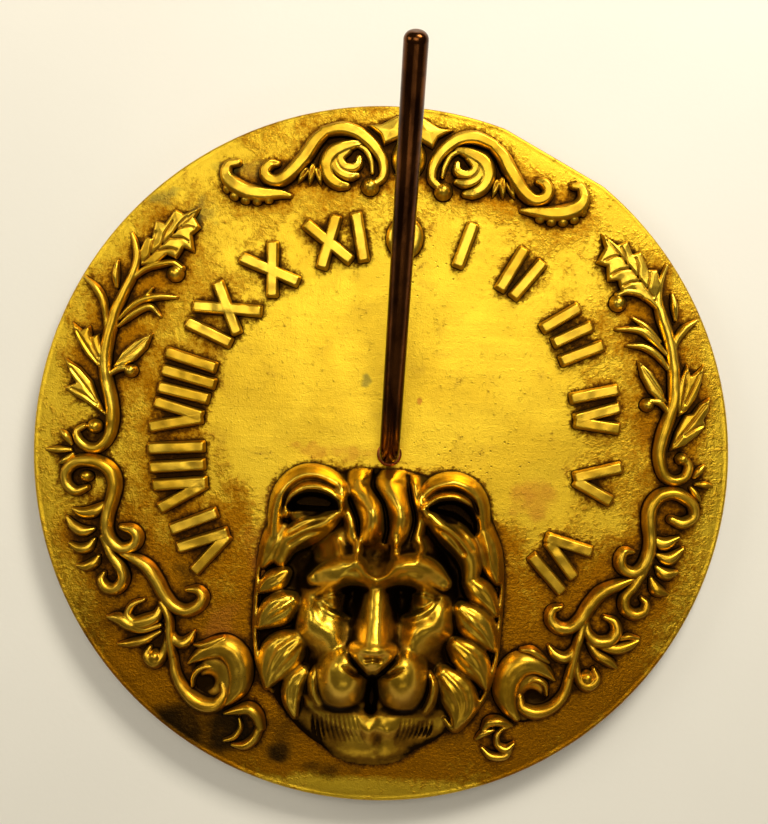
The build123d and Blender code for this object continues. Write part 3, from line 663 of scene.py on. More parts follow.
ornament("leaf_spray_right", strokes=[
    (3.8, [(107.8, 4.6, 3.4), (110.6, 2, 3.8), (109.6, -2.2, 3.8), (105.6, -4, 4), (101.6, -1.8, 4.4),
           (99.6, 4.5, 4.8), (100.4, 12, 5.2), (102.4, 19, 5.2), (103.8, 26, 5.2), (103.6, 33, 5),
           (102.4, 41, 4.8), (100.4, 49, 4.8), (97.4, 56.5, 4.6), (95.7, 63, 3.8), (96.2, 69, 3),
           (98.2, 75.3, 1.4)]),
    (3.4, [(98.6, 54, 2), (95.2, 60, 2.8), (89.6, 63.9, 3), (84.4, 64.8, 3), (80.8, 63.4, 2.6)]),
    (3.2, [(102.5, 20.4, 2.2), (98.8, 24.4, 2.8), (95, 25, 2.6)]),
    (3.2, [(102.4, 40, 2.2), (103, 46.8, 3), (106, 52, 3.4), (110.6, 55.8, 1.2)]),
    (3.2, [(100.4, 42, 1.6), (95.3, 47, 3), (89.4, 50.8, 3.2), (81, 50.7, 1.4)]),
    (3.0, [(97.5, 47, 1.6), (92, 52, 2.6), (86.6, 55.3, 1.2)]),
    (3.0, [(101.4, 36.5, 1.6), (96.9, 41.8, 3), (91.4, 44.8, 3), (85.2, 45, 1.4)]),
    (3.0, [(102.6, 55.4, 1.6), (102, 60, 3), (100.8, 64.8, 1.4)]),
], domes=[
    ((108, 4.2), (2.8, 2.6), 3.8), ((81, 60.3), (3.5, 3.5), 4.2), ((94, 23.4), (3.0, 2.8), 4.0),
], blades=[
    ([(94.4, 61), (96.4, 67), (94.6, 73.4), (91.4, 73.2), (88.2, 79.6), (85.2, 78.6), (83, 83.2),
      (79.4, 81.6), (73.4, 85.6), (75, 80.2), (72.2, 74.6), (76, 73.4), (76.8, 68.2), (80.4, 68.4),
      (82, 64.6), (86, 65.6), (90, 62)], 3.2,
     [[(93.6, 63.4), (86, 71.6), (75.6, 83)], [(91.4, 66.4), (92, 69.6), (91.8, 72)],
      [(87.6, 70), (87.6, 73.6), (86.4, 77)], [(83, 75), (82.2, 78), (80.6, 80.8)],
      [(88.4, 68.6), (85, 68), (82.4, 66.8)], [(84.4, 73), (80.6, 72.2), (77.8, 70.4)],
      [(80.4, 77.4), (77.6, 77), (75, 75.6)]]),
    ([(101.4, 24.4), (98.8, 30), (95, 35.6), (89.6, 39.6), (91, 33.6), (94.4, 28), (98, 25)], 3.0,
     [[(100, 26.4), (95.6, 31.6), (91, 37.6)]]),
    ([(105.4, 19.4), (104.2, 28), (105.4, 34), (107.8, 39), (109.2, 35.2), (111.6, 36.8), (114, 39.4),
      (113.4, 33), (111.8, 27), (108.6, 22)], 3.2,
     [[(106.4, 22), (107, 29), (107.6, 35.6)], [(107.6, 24.6), (110, 30), (112.4, 36)]]),
    ([(103.2, 7), (104.8, 14), (107.8, 20.4), (110.6, 21.2), (113, 24.8), (116.8, 27.4), (116.6, 22.5),
      (115, 19), (116, 17), (113, 13.2), (108.6, 9.2)], 3.2,
     [[(104.6, 9.6), (109.4, 16.6), (115, 24.6)], [(108, 13), (111.6, 15.6), (114.6, 17)]]),
])
ornament("side_scroll_left", strokes=[
    (4.6, [(-110.6, -19.2, 2.6), (-114.7, -20.6, 3.8), (-118, -18.2, 4.2), (-118.6, -14.2, 4.4),
           (-116.4, -10.8, 4.8), (-112, -9.2, 5), (-106.6, -9.8, 5.4), (-102.2, -12.6, 5.8),
           (-100.4, -17.2, 5.6), (-101, -22.6, 5.2), (-102.4, -28.4, 5.2), (-102.5, -34, 5.2),
           (-100.4, -38.4, 5), (-96.6, -40.8, 5), (-92.6, -39.8, 4.8), (-90.9, -36.6, 5),
           (-92.8, -33.8, 4.6), (-97, -33, 2.6)]),
    (4.2, [(-103.4, -37, 3.4), (-100, -43.4, 4.2), (-96.6, -47.6, 4.8), (-95.2, -52, 5), (-97.4, -55.6, 5),
           (-101, -55.7, 4.8), (-103.2, -53, 3.8), (-102.4, -50.4, 2)]),
    (4.6, [(-97, -42.6, 2), (-91.6, -44.4, 4.4), (-86.6, -47.2, 5.6), (-82.8, -52, 5.6), (-79.8, -57, 5.4),
           (-76, -61, 5.2), (-71.4, -62.4, 5.2), (-67, -60.4, 5), (-65.4, -57, 4.8), (-67.4, -54.6, 4),
           (-71.4, -54.6, 2.2)]),
    (4.2, [(-80.5, -60, 3), (-77.6, -65, 3.8), (-76.7, -73, 3.8), (-75.4, -79, 3.8)]),
    (3.2, [(-115.4, -27.4, 1.4), (-111.4, -28.6, 4), (-107, -27.6, 4.8), (-103.6, -25, 3)]),
    (3.2, [(-117.4, -30.6, 1.6), (-114.6, -33.8, 3.8), (-111, -35.4, 4.2), (-107.2, -34.4, 1.8)]),
    (3.2, [(-115.8, -40, 1.6), (-112.2, -41.8, 3.8), (-109, -41.2, 4), (-106.8, -38.2, 1.8)]),
    (3.0, [(-112.6, -48.2, 1.6), (-109.4, -48.4, 3.6), (-106.4, -46.8, 4), (-104.8, -44.4, 1.8)]),
    (4.0, [(-87, -59.2, 1.6), (-91, -61.2, 2.8), (-92.8, -65, 3.4), (-90.4, -68, 5), (-86, -67.4, 6),
           (-82, -64.8, 4.6), (-80.4, -60.4, 2.6)]),
    (3.8, [(-100.2, -66.4, 1.4), (-96, -66.8, 4.6), (-91.6, -69, 5), (-86.6, -70.4, 3.4),
           (-80.6, -68.4, 2.2)]),
    (3.4, [(-95.8, -76.2, 1.2), (-91, -75.6, 3.6), (-86, -74, 3.8), (-80.6, -70.8, 2)]),
    (4.2, [(-77.6, -68, 2), (-77.8, -74, 3), (-79.2, -79.4, 4), (-82, -82, 5.2), (-84.8, -79.8, 3.8),
           (-83.8, -76.6, 2)]),
    (3.8, [(-76.8, -69, 2), (-75, -73.2, 4), (-72, -74.4, 4.8), (-69.4, -72.6, 3.6), (-68, -70, 1.6)]),
], domes=[
    ((-111, -15), (3.0, 2.4), 3.6), ((-81.8, -80.2), (3.3, 3.5), 4.6),
])
ornament("side_scroll_right", strokes=[
    (4.6, [(105.2, -18.2, 3.4), (109.6, -19.4, 4.6), (113.4, -16.8, 4.4), (112.8, -12.4, 4.6),
           (109, -9.6, 4.8), (105, -8.6, 5), (100.4, -10.2, 5.4), (97.6, -14.2, 5.6), (97.2, -19.6, 5.4),
           (98, -25, 5), (98, -30.4, 5.2), (96, -36, 5.2), (92.4, -38.6, 5), (88.6, -37.2, 4.8),
           (87.4, -34, 4.8), (88.8, -31.2, 4.2), (92, -31, 2.2)]),
    (4.2, [(97.4, -36, 3.4), (93.4, -43, 4.2), (90, -48, 4.6), (90.4, -52, 4.8), (93.6, -54, 4.8),
           (97, -52.8, 4.4), (97.8, -49.8, 3.4), (96, -47.8, 1.8)]),
    (4.6, [(93.6, -40.6, 2), (87.6, -43.4, 4.6), (81.4, -46.6, 5.6), (77.4, -51.4, 5.6), (74.2, -57, 5.4),
           (70.4, -60.4, 5.2), (66.4, -60.6, 5.2), (63.2, -57.8, 4.8), (63.6, -54.2, 4),
           (66.8, -52.8, 2.2)]),
    (4.2, [(75.4, -58, 3), (74, -64, 3.8), (72.6, -71, 3.8), (71.4, -78, 3.8)]),
    (3.4, [(98, -25, 2.6), (103, -27.6, 5), (108.6, -24.8, 1.8)]),
    (3.4, [(101, -31.6, 2.2), (105.6, -32.8, 5), (110.4, -28.8, 1.8)]),
    (3.2, [(101, -36.2, 2), (104.4, -38.6, 4.8), (108.8, -37.6, 1.8)]),
    (3.0, [(99.2, -40.6, 2), (101.6, -44.6, 4.8), (105.4, -45.8, 1.8)]),
    (4.2, [(76, -56.4, 2.4), (77, -61.8, 4.2), (80.6, -65, 5.2), (85.4, -64.2, 5.2), (87.6, -60.8, 4.8),
           (86.4, -57.2, 3.8), (82.8, -55.6, 2)]),
    (3.8, [(96, -63.6, 1.6), (92.2, -65.8, 4.2), (87.4, -67.2, 4.8), (81.6, -66.6, 3)]),
    (3.0, [(88.6, -63.8, 1.6), (91.8, -62.4, 2.8), (96.2, -62.8, 1.4)]),
    (3.6, [(88.4, -74, 1.6), (85.2, -71.8, 4.2), (81, -69.4, 4.2), (77.4, -65.2, 2.4)]),
    (4.2, [(73.6, -68, 2), (73.6, -74, 3), (75, -79.4, 3.8), (78.4, -81.4, 4.8), (81.4, -78.6, 3.6),
           (80, -75, 2)]),
    (3.8, [(63, -67.4, 1.4), (65.4, -70.4, 3.8), (69, -71.6, 4.8), (71.8, -69.4, 3.8), (72.8, -65.8, 2)]),
], domes=[
    ((77.6, -78.4), (3.3, 3.3), 4.6),
])
ornament("corner_volute_left", disc=((-56.6, -85), (10.4, 12), 3.2), hollow=(-61.4, -88), strokes=[
    (4.8, [(-69.4, -81.8, 1.4), (-66, -79, 4.6), (-61.6, -76.6, 7.6), (-56.4, -75.6, 10), (-52, -79, 10.5),
           (-50.4, -84.4, 10), (-51, -89.6, 8), (-53.6, -94.4, 4), (-56, -96.4, 2)]),
    (4.4, [(-67.6, -74.8, 1.2), (-64.4, -74.6, 3), (-60.6, -73, 3.4), (-57, -71.4, 2)]),
    (5.0, [(-75.4, -79, 3.8), (-73.6, -86.4, 4.4), (-69.6, -92.4, 5.4), (-64, -96.2, 6.4),
           (-58.6, -96.2, 6), (-55.6, -92.6, 4.4), (-56.4, -88.6, 2.4)]),
    (3.2, [(-67.4, -90, 1.6), (-67, -86, 2.4), (-64, -82.8, 2.6), (-60, -82.6, 1.6)]),
    (4.4, [(-55, -99.4, 1.4), (-50.6, -98.2, 3.6), (-46, -97.2, 5.2), (-43, -99.6, 5.2),
           (-41.4, -103.6, 4)]),
    (2.8, [(-54.6, -109.4, 1.4), (-51, -108, 2.4), (-48.8, -104.6, 2.2), (-49.4, -101, 1.2)]),
    (3.6, [(-51.6, -110.8, 1.4), (-47, -110.8, 3.6), (-43.4, -108, 3.8), (-41.8, -104, 3.4)]),
])
ornament("corner_volute_right", disc=((54.4, -84.4), (10, 12), 3.2), hollow=(57.8, -86.4), strokes=[
    (4.8, [(65.8, -80, 1.4), (62.4, -77.2, 4.8), (58, -75, 8), (53, -75.4, 10.5), (49.6, -79.4, 10.5),
           (48.4, -85, 9.6), (50, -90.6, 7), (52.6, -94.6, 3.6)]),
    (4.2, [(63.4, -73.6, 1.2), (60, -71.4, 3), (56.6, -69.4, 3.4), (53, -69.4, 2)]),
    (4.8, [(71.4, -78, 3.8), (69.8, -84.6, 4.2), (65.6, -89.8, 4.8), (59.6, -92.2, 5.6), (54.6, -90.6, 4.6),
           (53.4, -86.8, 3)]),
    (3.4, [(55.4, -81.6, 1.6), (58.8, -80, 2.6), (62.2, -81.6, 2.6), (63.2, -85.4, 1.6)]),
    (4.2, [(40.6, -99.4, 2), (42.8, -96.8, 4.2), (46.6, -96.4, 4.2), (51, -97.6, 1.6)]),
    (3.4, [(38.2, -103.4, 1.4), (41, -101, 3.4), (44.4, -99.6, 2)]),
    (3.8, [(52.2, -104.2, 1.6), (49.4, -106.4, 3.6), (46.4, -105, 3), (45.8, -101.8, 2.6),
           (47.4, -99.2, 2.2), (50.4, -97.8, 1.6)]),
    (3.4, [(40.4, -106.4, 1.4), (44, -109.2, 3.4), (49, -109, 3.4), (51.6, -106, 1.6)]),
])
ornament("crest_palmette", domes=[
    ((1, 117.6), (3.4, 2.2), 3.6),
], leaves=[
    ((1.2, 117), (1.2, 124.6), 4.6, 3.6),
], blades=[
    ([(-15, 120.4), (-10, 121), (-4.4, 124.4), (-1.6, 124.6), (-1.6, 117), (-8.6, 113.4),
      (-10.2, 117)], 3.0, []),
    ([(16.6, 120.4), (11.4, 120.8), (5.6, 124), (2.8, 124.6), (3, 116.6), (9.4, 113.2),
      (11.2, 117)], 3.0, []),
])
ornament("noon_boss", fullness=8, domes=[((1.1, 79.8), (7.2, 8.2), 2.8)])
ornament("crest_cabochon", fullness=5, domes=[((0.8, 109), (6.6, 8.2), 3.4)])
ornament("bud_rays_left", strokes=[
    (2.4, [(-121.4, 1.4, 1.2), (-119.6, -0.6, 3), (-117.4, -3.4, 1.6)]),
    (2.4, [(-126.4, -6, 1.2), (-122, -5.8, 3), (-117.6, -5.6, 1.6)]),
    (2.4, [(-121.4, -10.8, 1.2), (-119, -9.4, 2.8), (-116.6, -7.2, 1.6)]),
])
ornament("bud_rays_right", strokes=[
    (2.4, [(116.4, 2.4, 1.2), (114.8, 0.2, 3), (113, -2.2, 1.6)]),
    (2.4, [(120, -5, 1.2), (117, -4.8, 2.8), (113.8, -4.7, 1.6)]),
    (2.4, [(115.8, -11, 1.2), (114, -8.6, 2.8), (112, -6.2, 1.6)]),
])

# ---------------------------------------------------------------- the lion
lion = Field((-52, -118), (51, -1), LION_STEP)


def tuft(points, height, strands):
    """A lock of the mane along (u, v, width) points, combed into strands."""
    widest = max(p[2] for p in points)
    crown = [(u, v, w, height * (0.6 + 0.4 * w / widest)) for u, v, w in points]
    lion.stroke(crown, shoulder=1.0, soft=0.2, base=5.0)
    path = np.array(points, float)
    along = np.gradient(path[:, :2], axis=0)
    side = np.stack([-along[:, 1], along[:, 0]], axis=1) / np.hypot(*along.T)[:, None]
    for k in range(1, strands):
        line = path[:, :2] + side * ((k / strands - 0.5) * 0.9 * path[:, 2])[:, None]
        ends = [(*end, 1.6, -0.6) for end in (line[0], line[-1])]
        lion.ridge([ends[0]] + [(u, v, 2.6, -1.3) for u, v in line[1:-1]] + [ends[1]])


def locks(*lines, soft, base):
    """Rounded locks and folds, each along (u, v, width, height) points, standing on a base."""
    for line in lines:
        lion.stroke(line, shoulder=1.0, soft=soft, base=base)


def ridges(*lines):
    """Ridges, or channels where the rise is negative, each along (u, v, width, rise) points."""
    for line in lines:
        lion.ridge(line)


# The mane's ground: a low apron with a thin raised line down each side.
lion.dome((-1, -62), (44, 50), 3.2, 6, soft=1)
lion.dome((-1, -34), (38, 28), 4.0, 5, soft=1)
for line in (
    [(-39, -25, 6, 5), (-43.6, -33, 3, 4.6), (-45.2, -42, 2.2, 4.4), (-45.6, -56, 2.2, 4.4),
     (-45.4, -68, 2.2, 4.4), (-43.6, -79, 2.4, 4.4), (-40.6, -86, 2.4, 4.2), (-37.6, -89.6, 1.6, 3.6)],
    [(36, -22, 6, 5), (42, -32, 3, 4.6), (44, -42, 2.2, 4.4), (44.2, -56, 2.2, 4.4), (43.8, -70, 2.2, 4.4),
     (42, -81, 2.4, 4.4), (38, -91, 2.4, 4.4), (30.6, -100, 2.4, 4.2), (26, -96, 2, 3.6)],
):
    lion.stroke(line, soft=0.4)
for line, height, strands in (
    ([(-27, -82, 6), (-30, -87, 8), (-30.4, -92.6, 6), (-29, -98, 2)], 9, 2),
    ([(-30, -71, 10), (-34.6, -75.6, 16), (-38, -81.6, 10), (-39.8, -88, 2.4)], 11.5, 4),
    ([(-32.6, -56.4, 8), (-36.4, -59, 12.6), (-40.2, -62, 9), (-43.6, -66, 2.4)], 11.5, 3),
    ([(-35.4, -46, 5), (-38.6, -48.6, 8.4), (-41.6, -50.6, 6), (-44, -53, 2)], 10, 2),
    ([(-37, -29.6, 6), (-39, -34.6, 10), (-41, -38.6, 7.6), (-43.6, -43.6, 2.4)], 10.5, 3),
    ([(24.6, -80, 8), (30.2, -86.2, 13.6), (32.2, -92, 10), (30.4, -98.4, 2.4)], 11, 4),
    ([(28.6, -69, 8), (34, -73.2, 12.6), (37.6, -77.6, 8.4), (40.4, -83.6, 2.4)], 12, 4),
    ([(29.8, -56, 8), (34.6, -60, 14), (38.6, -64, 10), (42.4, -69.4, 2.4)], 12.5, 3),
    ([(31.8, -45, 6), (36, -48.6, 10.4), (39.2, -51.8, 7.4), (42.4, -56.6, 2.4)], 12, 2),
    ([(36.6, -27.6, 7), (38.6, -34, 9.6), (40, -39.4, 7.4), (42.4, -45, 2.4)], 11.5, 3),
):
    tuft(line, height, strands)

# The face: a smooth surface through heights on its middle line and on both sides of it.
FACE_MIDDLE_U, FACE_TILT = -1.5, 0.06
FACE_MIDDLE = [
    (-7, 6), (-14, 11), (-22, 15.5), (-30, 16.5), (-37, 13), (-42.5, 17.5), (-47.4, 22), (-50, 18.5),
    (-54, 21), (-60, 24), (-67, 27), (-73, 28), (-76.6, 25), (-80, 20), (-84, 11), (-90, 6.5), (-94.6, 6),
    (-98, 8.6), (-103, 8.4), (-108, 4), (-113, 1),
]
FACE_SIDES = {              # distance from the middle line: (v, height) down that side
    4.6: [(-48, 21), (-51, 15), (-55, 14), (-61, 17), (-67, 20.5), (-73, 24), (-76.6, 22)],
    6.4: [(-80, 16), (-84, 11), (-88, 8), (-92, 6.5)],
    8.0: [(-43, 25), (-47.6, 21.5), (-50.6, 9), (-55, 6.5), (-60, 9.5), (-66, 13.5), (-70, 15.5),
          (-75, 17.5)],
    9.6: [(-12, 8), (-20, 12), (-28, 13.5), (-36, 16.5), (-79, 13), (-84, 10), (-89, 8), (-93.6, 6),
          (-97, 6.5), (-103, 6), (-109, 2.6)],
    14.0: [(-43, 25.5), (-48, 22), (-51.4, 10), (-55, 9), (-59, 12), (-62.6, 14.4), (-66.4, 16.6),
           (-70.6, 16.6), (-77, 15)],
    15.6: [(-28, 10.5), (-35, 14.5), (-83, 9), (-89, 7), (-94, 5.6), (-101, 5), (-107, 2.2)],
    20.0: [(-33, 9), (-40.2, 14), (-45.4, 20.5), (-50.6, 14), (-53.6, 10.5), (-57.2, 12.8), (-60.6, 15),
           (-65.4, 16.6), (-70.6, 11.6), (-75, 9), (-83, 7), (-90, 5.6), (-99, 3.4), (-105, 1.6)],
    25.0: [(-40, 4), (-47.4, 7), (-53, 9.5), (-57.4, 13), (-61.4, 14.4), (-66, 12.6), (-70.6, 6.5),
           (-78, 4.5), (-87, 4), (-96, 2.6), (-104, 1.2)],
    29.5: [(-45, 3), (-54, 3.4), (-61, 5), (-70, 3), (-80, 3), (-94, 2.6)],
}
points = [(FACE_MIDDLE_U, v, h) for v, h in FACE_MIDDLE]
for away, column in FACE_SIDES.items():
    for side in (-1, 1):
        points += [(FACE_MIDDLE_U + side * away, v + FACE_TILT * side * away, h) for v, h in column]
grid_u, grid_v = np.meshgrid(lion.u, lion.v)
face = thin_plate(points, grid_u, grid_v)
half_width = 31.5 - 6.5 * np.clip((-84 - grid_v) / 16, 0, 1)
reach = (np.abs((grid_u - FACE_MIDDLE_U) / half_width) ** 3 + np.abs((grid_v + 60) / 54.5) ** 3) ** (1 / 3)
fade = 0.07 + 0.2 * np.clip((-94 - grid_v) / 10, 0, 1)
face = face * np.clip((1.0 - reach) / fade, 0, 1) ** 0.7
lion.h = np.where(reach < 1, smooth_max(lion.h, face, 0.8), lion.h)

# The muzzle's two halves, the bridge of the nose and its tip.
lion.dome((-12.4, -81.8), (9.8, 12.4), 23, 2.8, soft=2.4, base=9)
lion.dome((9.6, -81.4), (9.8, 12.4), 24, 2.8, soft=2.4, base=9)
lion.stroke([(-1.6, -48.6, 10, 19), (-1.6, -54, 11.6, 21.5), (-1.6, -61, 12.4, 24.5), (-1.6, -67, 14, 27.4),
             (-1.6, -71.6, 15.8, 29.4), (-1.6, -74.6, 16.4, 29.6)], shoulder=0.84, soft=1.2, base=10)
lion.dome((-1.5, -73.4), (7.9, 5.2), 31, 2.6, soft=1.2, base=22)

# Ears: hair curled round a deep almond hollow, and combed.
lion.dome((-28, -19.6), (13, 12.6), 10.5, 3.5, soft=1)
lion.dome((25.4, -19.4), (11.4, 12.6), 10.5, 3.5, soft=1)
locks(
    [(-40, -32, 4.6, 10), (-40, -24, 5.6, 12), (-38, -16.4, 7, 13.5), (-33, -11.2, 8, 14),
     (-27, -9.8, 8.4, 14), (-20.4, -11.8, 8, 14), (-16.4, -16, 6.4, 13), (-14.8, -22, 5, 11)],
    [(-36.6, -24, 4, 13), (-35.2, -18.4, 5, 15), (-31, -14.6, 5.4, 16), (-26, -13.8, 5.6, 16.5),
     (-20.6, -15.4, 5.4, 17), (-17.4, -18.6, 5, 17)],
    [(-16.6, -18.4, 5, 17), (-18.6, -23.6, 8, 17.5), (-23.4, -27.4, 10, 17), (-29.6, -30.6, 11, 15.5),
     (-35, -35, 8.6, 12.5), (-37.4, -41, 5, 9)],
    [(13.4, -22, 5, 11), (14.4, -15, 6.4, 13), (18.8, -11, 8, 14), (25, -9.8, 8.4, 14),
     (30.6, -12.2, 8, 13), (34, -17, 7, 12), (35.4, -24, 5.4, 10.5), (35.6, -30, 4, 9)],
    [(15, -18.6, 4.6, 16), (19, -15.4, 5.2, 16.5), (25, -14.6, 5, 16), (30, -17, 4.6, 15),
     (33, -21.6, 4, 13)],
    [(14.4, -19.6, 5, 16), (18.6, -24, 8.4, 17.5), (23.6, -28, 10.6, 17.5), (29.4, -32.6, 10.6, 15.5),
     (32.4, -39, 8.4, 12.5), (32, -46, 5, 9)],
    soft=0.6, base=7.5)
ridges(
    [(-35, -21.4, 4, -6), (-31, -19.4, 6.4, -13), (-26, -19, 7, -14), (-20.6, -19.8, 5.4, -12),
     (-18, -21, 3, -5)],
    [(16.6, -19.4, 2.6, -5), (20.6, -18.6, 5, -12), (26, -19, 6.4, -14), (30.8, -22.4, 6, -12),
     (33, -26, 3.6, -6)],
    [(-38, -24, 1.6, -1), (-36.6, -16.6, 2, -2), (-32, -12, 2.2, -2.4), (-26, -11, 2.2, -2.4),
     (-19.4, -13.4, 2, -2)],
    [(-40.4, -16, 1.4, -0.8), (-35, -9.6, 1.6, -1.2), (-27, -7.6, 1.6, -1.2), (-20, -9.6, 1.4, -0.8)],
    [(15, -16, 1.6, -1.4), (19.4, -12.6, 2.2, -2.4), (25.4, -11.8, 2.2, -2.4), (31.4, -15, 2, -2),
     (34, -21, 1.6, -1)],
    [(16.6, -10, 1.4, -0.8), (24, -7.4, 1.6, -1.2), (31.6, -9.6, 1.4, -0.8)],
    [(-22, -25.4, 1.8, -1), (-28.6, -27.6, 2.4, -2.2), (-35, -31.4, 2.2, -1.6)],
    [(-22, -29.4, 1.8, -1), (-28.6, -31.4, 2.4, -2.2), (-34.6, -35.4, 2.2, -1.6)],
    [(18.4, -26, 1.8, -1), (24.4, -29.6, 2.6, -2.4), (29.6, -35, 2.4, -2)],
    [(22.6, -24, 1.8, -1), (28.4, -28, 2.4, -2), (32.6, -33.4, 2.2, -1.6)],
)

# Forelocks falling to the brow, with channels between them.
ridges(
    [(-10.8, -6.4, 7.4, 3), (-11.2, -13, 9, 5), (-7.4, -17.8, 9, 6.4), (-4.9, -22.8, 9, 7.6),
     (-5.6, -31, 7, 4)],
    [(3.6, -4.6, 7.4, 3), (0.8, -11, 9, 5), (4, -17, 9, 7), (6.2, -23.6, 8.6, 7.6), (4.6, -31, 7, 4)],
    [(-16.4, -12, 3.4, 2), (-15.8, -19, 4.8, 3.4), (-12.8, -26, 5, 3.4), (-11.6, -33, 3.6, 1.4)],
    [(10, -9, 3.4, 2), (11.4, -17, 4.8, 3.4), (13.4, -24, 5, 3.4), (12.2, -31, 3.6, 1.4)],
    [(-3.6, -4.6, 3.4, -4), (-5.2, -12, 2.6, -5), (-1.2, -18.6, 2.2, -4), (0.8, -27, 2.6, -5),
     (0.2, -32, 3, -3)],
    [(-13.4, -18, 2, -3), (-10.4, -25, 2.2, -4), (-9.4, -31, 2, -2)],
    [(7.4, -8, 2, -3), (8.8, -16, 2.2, -4), (10.6, -24, 2.2, -4), (9.4, -31, 2, -2)],
)

# Brow: two thick lobes, creases above them, and the shelf over the eyes.
locks(
    [(-25, -47.6, 3.6, 18), (-20.4, -45.6, 7.6, 23.5), (-14.6, -43.4, 9.4, 27), (-9.6, -41.8, 8, 28.6),
     (-6.4, -44.8, 4.6, 26), (-1.8, -47, 3.6, 24)],
    [(-1.8, -47, 3.6, 24), (2.4, -45, 4.6, 26), (5.8, -41.8, 7.8, 28.6), (10.8, -40.6, 9.4, 28.6),
     (16.8, -42.2, 8.8, 26), (22.8, -46.4, 4.4, 19)],
    soft=1.5, base=19)
ridges(
    [(-9.8, -30.6, 3.4, 1), (-9.4, -35.4, 4.2, 4.6), (-9.6, -39.6, 4.4, 2)],
    [(4.4, -31, 3.4, 1), (4.6, -34.6, 4, 4.6), (4.4, -38.4, 4, 2)],
    [(13.6, -31, 3, 1), (14, -34.6, 4, 4), (13, -38, 4, 1.4)],
    [(-18, -32.4, 3.4, 1), (-16.6, -37, 4.4, 2.4), (-15.4, -40, 4, 1)],
)
for centre, radii, amount in (
    ((-3, -37), (3.4, 4.6), -1.6), ((-4.4, -42.6), (1.5, 1.5), 1.6), ((9.2, -34), (2.2, 3.0), -2),
    ((-13.4, -34.4), (2.0, 3.0), -2),
):
    lion.swell(centre, radii, amount)
ridges(
    [(-5.4, -50.4, 2.4, -2), (-10, -50.4, 3.6, -4), (-17, -51.6, 3.6, -3.4), (-23.4, -54.4, 2.4, -1.5)],
    [(2.6, -50, 2.4, -2), (7.2, -49.2, 3.6, -4), (14.4, -49.4, 3.6, -3.4), (21, -51.6, 2.4, -1.5)],
)

# Faint eyeballs and soft lids.
for centre in ((-17, -53.6), (15.6, -51.8)):
    lion.swell(centre, (4.0, 3.4), 4.8)
ridges(
    [(-22, -56, 2.4, 0.6), (-19.4, -58.8, 3, 1.4), (-14.6, -60.6, 3, 1.4), (-10.6, -60.8, 2.6, 0.8)],
    [(8.6, -60, 3, 1.2), (13.4, -58.8, 3.6, 2.2), (17.8, -56.4, 3, 1.8), (20, -53.6, 2.2, 0.6)],
)

# The cleft under the nose, the nose pad and the whisker pockets, then the jowls.
ridges(
    [(-1.4, -81.6, 2.2, -4), (-1.2, -84.6, 3.6, -8), (-1.2, -89.6, 4.6, -8), (-1.2, -94, 4, -4)],
    [(-10.4, -74.6, 2, -1.6), (-7, -79, 2.2, -5), (-1.5, -82.8, 2, -3), (4, -78.8, 2.2, -5),
     (7.4, -74.2, 2, -1.6)],
    [(-9.4, -75.6, 1.8, 1), (-5.4, -78.2, 2.2, 2.4), (-1.5, -80.6, 2.6, 3), (2.6, -78, 2.2, 2.4),
     (6.4, -75.2, 1.8, 1)],
    [(-6, -74.8, 2, -1.4), (-3.6, -75.8, 3.2, -4), (-1.6, -75.4, 2.6, -3), (0.6, -75.8, 3.2, -4),
     (3, -74.6, 2, -1.4)],
    [(-12, -79.2, 1.8, -1), (-9.2, -80.6, 3.0, -3.6), (-6.8, -81.6, 2.6, -3.6)],
    [(3.8, -81.4, 2.6, -3.6), (6.4, -80.4, 3.0, -3.6), (9.6, -78.8, 1.8, -1)],
)
locks(
    [(-22, -79, 3, 9), (-23, -84, 4.6, 12), (-22.4, -89, 4.4, 11), (-20.4, -93, 3, 8)],
    [(19.4, -79, 3, 10), (21.2, -84, 4.6, 13), (20.6, -89.6, 4.4, 12), (18.8, -93.6, 3, 8)],
    soft=0.8, base=5)

# Beard: fine strands fanning from the lip, round a bare chin.
for k in range(11):
    u = -22.5 + 1.6 * k
    lion.ridge([(u, -97.4, 1.3, -0.7), (u + 0.6 + 0.08 * k, -101.6, 1.5, -1.7),
                (u + 1.6 + 0.2 * k, -106, 1.3, -0.6)])
for k in range(8):
    u = 10.4 + 1.6 * k
    lion.ridge([(u, -97.4, 1.3, -0.7), (u - 0.6, -101, 1.5, -1.5), (u - 1.8, -105 + 0.3 * k, 1.3, -0.5)])
lion.swell((1.8, -105), (1.8, 3.2), -2.6)
lion.swell((-1.2, -103), (1.6, 2.0), 1.2)
lion.swell((5.8, -102.6), (1.6, 1.6), 1.4)

lion.h = np.where(lion.h > 0.5, 0.3 * lion.h + 0.7 * blur(lion.h, 1.2), lion.h)
lion.roughen(0.16, 2.2, 11)


# Painted shade in the ear hollows, eye sockets, beside the brows, under the nose and along the mouth, darker
# patina on the beard, and painted light lifting the eyeballs, forehead and lit slopes: centre, radii, amount.
SHADE_LIGHT_AND_PATINA_SPOTS = [
    (-27.4, -20, 10, 4.4, 2.4), (26, -20, 9, 4.4, 2.4), (-8, -53, 5.6, 4.4, 0.6), (5.4, -51.6, 5.6, 4.4, 0.6),
    (-17, -53.6, 4.6, 4, -0.8), (15.6, -52, 4.6, 4, -0.8), (-18, -103, 11, 7, 0.5), (16, -104, 10, 7, 0.45),
    (-29, -46, 5, 4, 0.7), (-22, -35, 6, 6, -0.7), (-3, -37, 3, 4, -0.4), (28, -46, 4, 8, 0.5),
    (-1.3, -89, 3, 6.6, 0.9), (-1.5, -95, 22, 1.8, 0.6),
]
shade_light_and_patina = np.zeros(grid_u.shape)
for u, v, ru, rv, amount in SHADE_LIGHT_AND_PATINA_SPOTS:
    shade_light_and_patina += amount * np.exp(-(((grid_u - u) / ru) ** 2 + ((grid_v - v) / rv) ** 2) ** 2)
add_piece("lion", lion, "lion_brass", lion_brass, "lion_mane", "lion_face", place=lion_place,
          depth=1.9, shade_light_and_patina=shade_light_and_patina)

